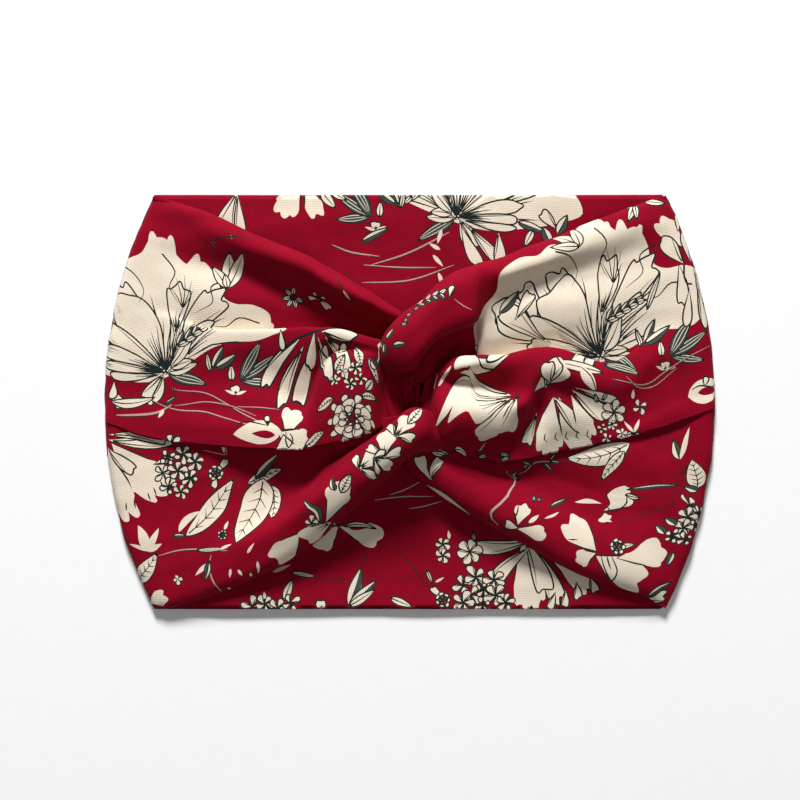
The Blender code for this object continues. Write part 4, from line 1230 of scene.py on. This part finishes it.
def buds(pen):
    """Buds and thin stems along the right lower leg."""
    pen.at(44, -47, reach=8)
    pen.petal(-2 - 1j, 78, 8, 34, 3, 0.07, bare=True)
    pen.petal(-3 - 2j, -12, 11.5, 22, 2, 0.05, bare=True)
    pen.petal(-2 - 2j, 160, 5.5, 34, 2)
    pen.leaf(2 + 0j, 38, 5, 1.8, "plain")
    pen.stroke([-2.5 + 7j, -3 + 3j, -5 + 2j], 0.5)
    pen.at(57, -41, reach=6)
    pen.leaf(-2.6, 25, 9, 1.8, "half")
    pen.leaf(-4.6 - 4.6j, 24, 6.4, 1.1, "plain")
    pen.at(70, -38.5, reach=6)
    pen.leaf(-5.4 - 0.8j, 12, 11, 1.8, "plain", -0.3)
    pen.at(80, -38.8, reach=7)
    pen.petal(-6 - 3.4j, 33, 14, 25, 2, 0.03, bare=True)
    pen.petal(-5 - 4j, -60, 4.8, 40, 2, 0.04, bare=True)
    pen.stroke([-5 - 1.4j, -3.4 - 3j, -1 - 3.4j, 2 - 1j, 5 + 1.4j], 0.5)
    pen.leaf(5 + 2j, -12, 5, 1.8, "cream")
    pen.leaf(-3 - 7.6j, -15, 3.4, 0.9, "plain")
    pen.at(95, -36, reach=9)
    pen.leaf(-10.5 + 2j, 5, 22, 1.9, "half")
    pen.stroke([-15 - 12.5j, -4 - 7j, 5 - 3.4j, 11 + 3j], 0.4)
    pen.stroke([4.6 + 7j, 9 + 10j, 10.6 + 14j], 0.4)


def falling_petals(pen):
    """Large loose petals at the foot of the right lower leg."""
    pen.at(68, -52.5, reach=10)
    pen.petal(5 - 6j, 132, 16, 34, 3, 0.06, bare=True)
    pen.stroke([-6 - 1.4j, -2.6 - 1.2j], 0.5)
    pen.at(77, -64, reach=12)
    pen.petal(-5 + 4j, -30, 21, 30, 3, 0.06, bare=True)
    pen.petal(-5 + 5j, 205, 7, 40, 3, 0.06, bare=True)
    pen.stroke([-3 + 4j, -0.4 - 2j, 1.6 - 5.6j, 4 - 2j, 1 + 3.6j], 0.5)
    pen.stroke([-1 + 4j, 1.6 - 1.4j], 0.45)
    pen.at(90, -58, reach=10)
    pen.petal(-9 - 3j, 8, 19, 26, 3, 0.05, bare=True)
    pen.fill(leaf_outline(10, 2.6) * turned(28) - 7 - 1j, GROUND)
    pen.leaf(-10 + 0j, 32, 9, 2.4, "cream", -0.3)
    pen.rose(-9 + 1.6j, 3, 2)


def print_back(cloth):
    """What shows of the back panel's print above and below the knot."""
    pen = Print(cloth, 12)
    bloom(pen, 18.5, 72.8, mirror=True)
    spray(pen, 14, 76.5, mirror=True)
    pen.at(29, 62, reach=9)
    pen.petal(-9 + 7j, -70, 17, 15, 1, 0.04, 0.1)
    pen.petal(-6 + 7j, -48, 17, 14, 2, 0.05, crease=2)
    pen.petal(6 + 5j, -88, 12, 20, 2, 0.04, crease=1)
    pen.leaf(14 + 9j, -20, 12, 3.4, "half")
    pen.leaf(24 + 7j, -70, 9, 4, "half")
    pen.leaf(20 + 6j, -120, 8, 3, "cream")
    pen.at(58, 66, reach=8)
    pen.petal(0 + 2j, 130, 9, 26, 2, crease=1)
    pen.leaf(0, 60, 9, 4, "half")
    pen.at(0, 58, reach=10)
    pen.stem([-31 + 4j, -23 + 1j, -12 - 0.6j], 0.6)
    pen.stem([16 + 9j, 0 + 1j, -15 - 4j], 0.65)
    pen.stem([-18 - 4j, -3 - 5j, 10 - 5j], 0.5)
    pen.stem([17 - 4j, 0 - 10j, -18 - 11j], 0.5)
    for place, angle, length in ((9 + 0j, -50, 6), (12 + 2j, 150, 5), (11 - 7j, -70, 6),
                                 (13 + 10j, -110, 6)):
        pen.leaf(place, angle, length, 1.6, "plain")
    pen.at(-14, 67, reach=6)
    pen.leaf(-5 - 4j, 28, 12, 3, "half")
    pen.at(-45, 80, reach=8)
    pen.petal(2 + 6j, 238, 14, 34, 4, 0.07, bare=True)
    pen.petal(4 + 6j, 290, 13, 26, 3, 0.07, bare=True)
    pen.at(-31, 80, reach=6)
    pen.leaf(-4 + 3j, -50, 9, 4, "cream")
    pen.leaf(0 + 3j, -30, 7, 3, "cream")
    pen.at(-70, 74, reach=8)
    pen.petal(2 + 9j, -112, 20, 22, 2, 0.04, 0.1, crease=2)
    pen.petal(2 + 8j, -85, 17, 13, 1, 0.04, crease=1)
    # below the knot
    pen.at(-24, -50, reach=9)
    pen.petal(-4 + 1j, 215, 12, 42, 3, 0.05, bare=True)
    pen.petal(-4 + 1j, -15, 17, 26, 2, 0.05, bare=True)
    pen.fill(leaf_outline(8, 2.2) * turned(4) + 0.4j, GROUND)
    pen.leaf(-2 + 1j, 18, 13, 2.2, "cream", -0.4)
    pen.at(0, -37, reach=8)
    pen.stem([-14 - 1.7j, -3 - 0.3j, 9 - 0.2j], 0.5)
    pen.stem([-8 + 0.4j, -2 + 2.4j, 4 + 5.5j], 0.5)
    pen.stem([0 - 5j, 6 - 4j, 13 - 2j], 0.5)
    leaf_group(pen, -24, -80.4, [(70, 16, 5, "half", 0.1), (40, 14.5, 4, "half", 0.1),
                                 (28, 12, 3.4, "cream", 0.1)])
    pen.at(-17, -61)
    pen.stroke([-0.6 - 3j, 0.4 + 2.4j], 0.4)
    pen.at(-44, -70, reach=7)
    pen.leaf(-3 + 3j, -10, 10, 2, "dark")
    pen.stroke([6 + 0.8j, 14 - 0.4j, 20 - 0.2j], 0.35)
    pen.leaf(-10 + 3j, 22, 8, 1.5, "pale")
    pen.leaf(-5.6 - 8j, 68, 9, 3.4, "cream")
    pen.at(-54, -80.5, reach=6)
    pen.cluster([-8 + 0j, -3 + 1j, 2 - 0.6j, 7 + 1.4j], 4.2)
    pen.leaf(-3 + 3j, 100, 3, 1.2, "plain")
    pen.at(-35, -82)
    pen.petal(0, 90, 4, 60, 3)
    pen.at(-4, -80, reach=5)
    pen.leaf(-4 + 3j, -22, 10, 3, "cream")
    ruffled_flower(pen)
    return pen


def ruffled_flower(pen):
    """The wide flower with a fringed edge, and the florets around it."""
    pen.at(48, -66, reach=12)
    pen.petal(2 + 12j, -42, 29, 13, 3, 0.05, bare=True)
    pen.petal(0 + 10j, -62, 26, 13, 3, 0.06, crease=1)
    pen.petal(-3 + 12j, -88, 27, 22, 5, 0.05, 0.1, bare=True)
    pen.petal(-2 + 12j, -68, 22, 17, 2, 0.05, crease=1)
    pen.petal(2 + 12j, 200, 24, 12, 2, 0.04, -0.2, crease=2)
    pen.petal(0 + 9j, 212, 24, 13, 2, 0.04, 0.2, crease=1)
    pen.petal(0 + 12j, -30, 19, 11, 1, 0.04, 0.2, crease=1)
    for index in range(6):
        start = -8 - 13j + (2.6 - 0.5j) * index
        pen.stroke([start, start - 0.6 - 2j, start + 0.9 - 2.8j], 0.5)
    for place, angle in ((10 - 9j, -100), (14 - 8j, -80), (18 - 5j, -75), (23 - 3j, -60)):
        pen.petal(place, angle, 7, 24, 2, 0.05, crease=1)
    pen.at(23.6, -59, reach=6)
    pen.floret(0, 5, 6, 15)
    pen.leaf(2 + 4j, 100, 4, 1.5, "cream")
    pen.at(13, -58, reach=6)
    pen.floret(2j, 3, 5, 40)
    pen.floret(-2.6j, 3, 5, 80)
    pen.leaf(2.6 + 4j, 95, 3.5, 1.3, "plain")
    pen.at(26, -74, reach=8)
    pen.cluster([-5 + 2j, 5j, 3, -2 - 2j, 7 + 4j, 8 - 2j, 3 - 6j, 12 - 5j, -5 - 5j], 4.2)
    pen.at(12, -77, reach=5)
    pen.petal(1, 140, 6, 24, 2)
    pen.rose(1 - 1j, 3, 2)
    pen.leaf(-5 + 11j, -72, 6, 1.7, "cream")
    pen.leaf(-2 + 6j, 30, 4, 1, "plain")
    pen.stroke([-15 + 19j, -11 + 14j, -5 + 3j], 0.4)


# -------------------------------------------------------------------- the back panel's grid
def back_grid():
    """The back panel's upper face, with faint creases along the band."""
    rows, columns = 116, 84
    y = np.linspace(-HALF_WIDTH, HALF_WIDTH, columns)
    span = side_x(y)
    t = np.linspace(-1, 1, rows)[:, None]
    x = t * span
    sway = 0.6 * np.sin(x / MM * 0.03)
    creases = 0.22 * MM * np.sin(y / MM * 0.21 + sway) * np.cos(x / MM * 0.021 + 1)
    top, seam = 2.1 * MM, 1.2 * MM
    edge = np.minimum(1, (1 - np.abs(t)) * 120)     # only the very ends go down to the seam
    return np.stack([x, np.broadcast_to(y, x.shape), seam + (top + creases - seam) * edge], axis=2)


# ------------------------------------------------------------------- materials and studio
def new_material(name):
    """A material with its nodes, its links and its shader."""
    material = bpy.data.materials.new(name)
    material.use_nodes = True
    nodes = material.node_tree.nodes
    return material, nodes, material.node_tree.links, nodes["Principled BSDF"]


WAVES_PER_UNIT = 0.314     # bands in one unit of a wave texture of scale 1, near enough


def jersey(name, colour, mottled_and_shaded, sheen=0.1):
    """Fine knitted jersey: wales and courses as bump, a mottled colour, and painted shade in its hollows.
    """
    material, nodes, links, shader = new_material(name)
    shader.inputs["Specular IOR Level"].default_value = 0.08
    shader.inputs["Sheen Weight"].default_value = sheen
    shader.inputs["Sheen Roughness"].default_value = 0.45
    place = nodes.new("ShaderNodeUVMap")
    place.uv_map = "cloth"
    heights = []
    for direction, period in (("X", 0.9), ("Y", 0.7)):
        wave = nodes.new("ShaderNodeTexWave")
        wave.bands_direction = direction
        wave.inputs["Scale"].default_value = WAVES_PER_UNIT * UV_MM / period
        wave.inputs["Distortion"].default_value = 1.2
        wave.inputs["Detail"].default_value = 1.0
        wave.inputs["Detail Scale"].default_value = 0.6
        links.new(place.outputs["UV"], wave.inputs["Vector"])
        heights.append(wave)
    knit = nodes.new("ShaderNodeMath")
    knit.operation = "ADD"
    links.new(heights[0].outputs["Fac"], knit.inputs[0])
    links.new(heights[1].outputs["Fac"], knit.inputs[1])
    mottle = nodes.new("ShaderNodeTexNoise")
    mottle.inputs["Scale"].default_value = UV_MM / 9
    mottle.inputs["Detail"].default_value = 6.0
    mottle.inputs["Roughness"].default_value = 0.7
    links.new(place.outputs["UV"], mottle.inputs["Vector"])
    # the colour darkens at random with the mottle, and as painted shade where the knit's waves are low
    share = nodes.new("ShaderNodeMath")
    share.operation = "MULTIPLY_ADD"
    share.inputs[1].default_value = 0.22
    links.new(knit.outputs["Value"], share.inputs[0])
    links.new(mottle.outputs["Fac"], share.inputs[2])
    ramp = nodes.new("ShaderNodeValToRGB")
    ramp.color_ramp.elements[0].position = 0.40
    ramp.color_ramp.elements[0].color = mottled_and_shaded
    ramp.color_ramp.elements[1].position = 1.0
    ramp.color_ramp.elements[1].color = colour
    links.new(share.outputs["Value"], ramp.inputs["Fac"])
    links.new(ramp.outputs["Color"], shader.inputs["Base Color"])
    rough = nodes.new("ShaderNodeMapRange")
    rough.inputs["To Min"].default_value = 0.74
    rough.inputs["To Max"].default_value = 0.92
    links.new(mottle.outputs["Fac"], rough.inputs["Value"])
    links.new(rough.outputs["Result"], shader.inputs["Roughness"])
    bump = nodes.new("ShaderNodeBump")
    bump.inputs["Strength"].default_value = 0.35
    bump.inputs["Distance"].default_value = 0.12 * MM
    links.new(knit.outputs["Value"], bump.inputs["Height"])
    links.new(bump.outputs["Normal"], shader.inputs["Normal"])
    return material


def thread_material():
    """Twisted sewing thread over the seam allowances, with painted shade in the twist's grooves."""
    material, nodes, links, shader = new_material("seam_thread")
    shader.inputs["Roughness"].default_value = 0.6
    place = nodes.new("ShaderNodeTexCoord")
    twist = nodes.new("ShaderNodeTexWave")
    twist.bands_direction = "DIAGONAL"
    twist.inputs["Scale"].default_value = WAVES_PER_UNIT / (1.6 * MM)
    twist.inputs["Distortion"].default_value = 0.6
    links.new(place.outputs["Object"], twist.inputs["Vector"])
    # painted shade: darker where the twist's bump is low, lighter on its ridges
    ramp = nodes.new("ShaderNodeValToRGB")
    ramp.color_ramp.elements[0].color = (0.10, 0.002, 0.010, 1)
    ramp.color_ramp.elements[1].color = (0.36, 0.008, 0.035, 1)
    links.new(twist.outputs["Fac"], ramp.inputs["Fac"])
    links.new(ramp.outputs["Color"], shader.inputs["Base Color"])
    bump = nodes.new("ShaderNodeBump")
    bump.inputs["Distance"].default_value = 0.3 * MM
    links.new(twist.outputs["Fac"], bump.inputs["Height"])
    links.new(bump.outputs["Normal"], shader.inputs["Normal"])
    return material


def floor_material():
    """Pale paper with a faint grain."""
    material, nodes, links, shader = new_material("studio_paper")
    shader.inputs["Roughness"].default_value = 0.9
    shader.inputs["Specular IOR Level"].default_value = 0.1
    grain = nodes.new("ShaderNodeTexNoise")
    grain.inputs["Scale"].default_value = 900.0
    ramp = nodes.new("ShaderNodeValToRGB")
    ramp.color_ramp.elements[0].color = (0.93, 0.93, 0.93, 1)
    ramp.color_ramp.elements[1].color = (0.96, 0.96, 0.96, 1)
    links.new(grain.outputs["Fac"], ramp.inputs["Fac"])
    links.new(ramp.outputs["Color"], shader.inputs["Base Color"])
    return material


def make_camera():
    """A long lens straight above the band, which looks down on it."""
    data = bpy.data.cameras.new("camera")
    data.lens = 100
    data.sensor_width = 36
    data.clip_end = 20
    seen_width = 0.3128     # metres across the picture, at the level of focus_level
    focus_level = 0.008
    distance = seen_width * data.lens / data.sensor_width
    camera = add_object("camera", data)
    camera.location = (-0.0039, 0.0008, distance + focus_level)
    bpy.context.scene.camera = camera


def area_light(name, location, size, power):
    """A round white lamp that points at the middle of the band."""
    data = bpy.data.lights.new(name, "AREA")
    data.shape = "DISK"
    data.size = size
    data.energy = power
    lamp = add_object(name, data)
    lamp.location = location
    lamp.rotation_euler = (-Vector(location)).to_track_quat("-Z", "Y").to_euler()


def make_studio():
    """A faint white world, a low key lamp behind the band, a weak fill above, and a floor."""
    world = bpy.data.worlds.new("studio")
    world.use_nodes = True
    background = world.node_tree.nodes["Background"]
    background.inputs["Color"].default_value = (1, 1, 1, 1)
    background.inputs["Strength"].default_value = 0.07
    bpy.context.scene.world = world
    area_light("key", (-0.3, 2.6, 1.62), 0.8, 146)
    area_light("fill", (0.3, -0.4, 3.0), 1.5, 16)
    bpy.context.scene.view_settings.view_transform = "Standard"
    side = 3.0              # metres from the middle to each edge of the floor
    level = -0.2 * MM       # just clear of the back cloth
    corners = [(x, y, level) for x, y in ((-side, -side), (side, -side), (side, side), (-side, side))]
    mesh = bpy.data.meshes.new("floor")
    mesh.from_pydata(corners, [], [(0, 1, 2, 3)])
    mesh.materials.append(floor_material())
    floor = add_object("floor", mesh)


# ------------------------------------------------------------------------ seams and thread
def stitches(name, cloth, stretches, lift_by):
    """A row of sewn stitches along the cloth's reference column, lift_by mm off its face."""
    body = bmesh.new()
    for start, end in stretches:
        middles = np.arange(start, end, 3.0)
        flat = np.concatenate([np.stack([middles + shift, np.zeros(len(middles))], axis=1)
                               for shift in (-1.1, 0.0, 1.1)])
        points, normals, _ = lift(cloth, flat)
        points = (points + normals * lift_by) * MM
        count = len(middles)
        for index in range(count):
            a, b, c = (Vector(points[index + part * count]) for part in range(3))
            bulge = Vector(normals[index + count]) * math.copysign(0.25 * MM, lift_by)
            add_thread(body, [a, b + bulge, c], 0.28 * MM)
    return from_bmesh(name, body)


def add_thread(body, path, radius):
    """A short six-sided thread along a path, with pointed ends."""
    rings = []
    for index, point in enumerate(path):
        ahead = (path[min(index + 1, len(path) - 1)] - path[max(index - 1, 0)]).normalized()
        side = ahead.cross(Vector((0, 0, 1)))
        side = side.normalized() if side.length > 0.1 else Vector((1, 0, 0))
        up = side.cross(ahead)
        size = radius * (0.55 if index in (0, len(path) - 1) else 1.0)
        rings.append([body.verts.new(point + size * (side * math.cos(a) + up * math.sin(a)))
                      for a in (math.radians(60 * k) for k in range(6))])
    skin(body, rings)


def skin(body, rings):
    """Faces between rings of vertices, and a cap at each end."""
    sides = len(rings[0])
    for low, high in zip(rings[:-1], rings[1:]):
        for k in range(sides):
            after = (k + 1) % sides
            body.faces.new((low[k], low[after], high[after], high[k]))
    body.faces.new(rings[0][::-1])
    body.faces.new(rings[-1])


def from_bmesh(name, body):
    """A piece of seam thread made from a bmesh."""
    bmesh.ops.recalc_face_normals(body, faces=body.faces)
    mesh = bpy.data.meshes.new(name)
    body.to_mesh(mesh)
    body.free()
    mesh.shade_smooth()
    mesh.materials.append(THREAD)
    piece = add_object(name, mesh)
    return piece


def seam_allowance(name, sign):
    """The overlocked edges between the layers, just inside one side of the band."""
    body = bmesh.new()
    profile = ((2.4, 2.35), (2.4, 3.0), (7.6, 2.9), (7.6, 2.35))     # (inset, z) in mm
    rings = []
    for y in np.linspace(-77, 77, 140):
        edge = float(side_x(y * MM))
        ripple = 0.25 * math.sin(y * 0.9)
        rings.append([body.verts.new((sign * (edge - (inset + ripple) * MM), y * MM, z * MM))
                      for inset, z in profile])
    skin(body, rings)
    over = ((2.6, 0.0, 3.05), (5.2, 0.6, 3.25), (7.5, 1.2, 2.95))     # (inset, along, z) in mm
    for y in np.arange(-76, 76, 2.4):
        edge = float(side_x(y * MM))
        path = [Vector((sign * (edge - inset * MM), (y + along) * MM, z * MM))
                for inset, along, z in over]
        add_thread(body, path, 0.22 * MM)
    return from_bmesh(name, body)


def declare(nodes):
    """Hides the CAD parts that a cloth stands for."""
    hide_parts(*nodes)


# ------------------------------------------------------------------------ the whole scene
make_camera()
make_studio()
THREAD = thread_material()
# each second colour is the darker end: mottled tone, and painted shade in the knit's hollows
# in the order of GROUND, CREAM, INK, LEAF and PALE
PALETTE = [jersey("jersey_crimson", (0.300, 0.0010, 0.0170, 1), (0.185, 0.0004, 0.0090, 1), 0.01),
           jersey("print_cream", (0.82, 0.715, 0.575, 1), (0.71, 0.61, 0.48, 1)),
           jersey("print_ink", (0.016, 0.022, 0.020, 1), (0.008, 0.012, 0.011, 1), 0.02),
           jersey("print_leaf", (0.065, 0.080, 0.070, 1), (0.040, 0.052, 0.045, 1), 0.05),
           jersey("print_pale", (0.55, 0.36, 0.32, 1), (0.45, 0.26, 0.24, 1))]

# the number given with each grid is its reference column
back_sheet = Cloth(back_grid(), 42)
back = printed_mesh("back_cloth", back_sheet, print_back(back_sheet), BACK_THICKNESS, PALETTE)
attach(back, "back")
declare(["back_panel"])

left_sheet = Cloth(loop_grid(LEFT), 7)
left = printed_mesh("left_cloth", left_sheet, print_left(left_sheet), LOOP_THICKNESS, PALETTE)
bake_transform(left)
declare(["left_loop"])

right_sheet = Cloth(loop_grid(RIGHT), 9)
right = printed_mesh("right_cloth", right_sheet, print_right(right_sheet), LOOP_THICKNESS, PALETTE)
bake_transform(right)
declare(["right_loop"])

for name, sign, node in (("left_seam_allowance", -1, "left_side_seam"),
                         ("right_seam_allowance", 1, "right_side_seam")):
    piece = seam_allowance(name, sign)
    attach(piece, "back")
    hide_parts(node)
# stretches of stitches are in mm along the cloth
piece = stitches("back_closing_stitches", back_sheet, [(14, 226)], 0.12)
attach(piece, "back")
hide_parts("back_panel_seam")
for name, sheet, sign, node in (("left_loop_stitches", left_sheet, -1, "left_loop_seam"),
                                ("right_loop_stitches", right_sheet, 1, "right_loop_seam")):
    total = float(sheet.flat[-1, :, 0].mean())
    piece = stitches(name, sheet, [(10, 70), (total - 70, total - 12)], -1.45)
    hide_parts(node)
    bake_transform(piece)
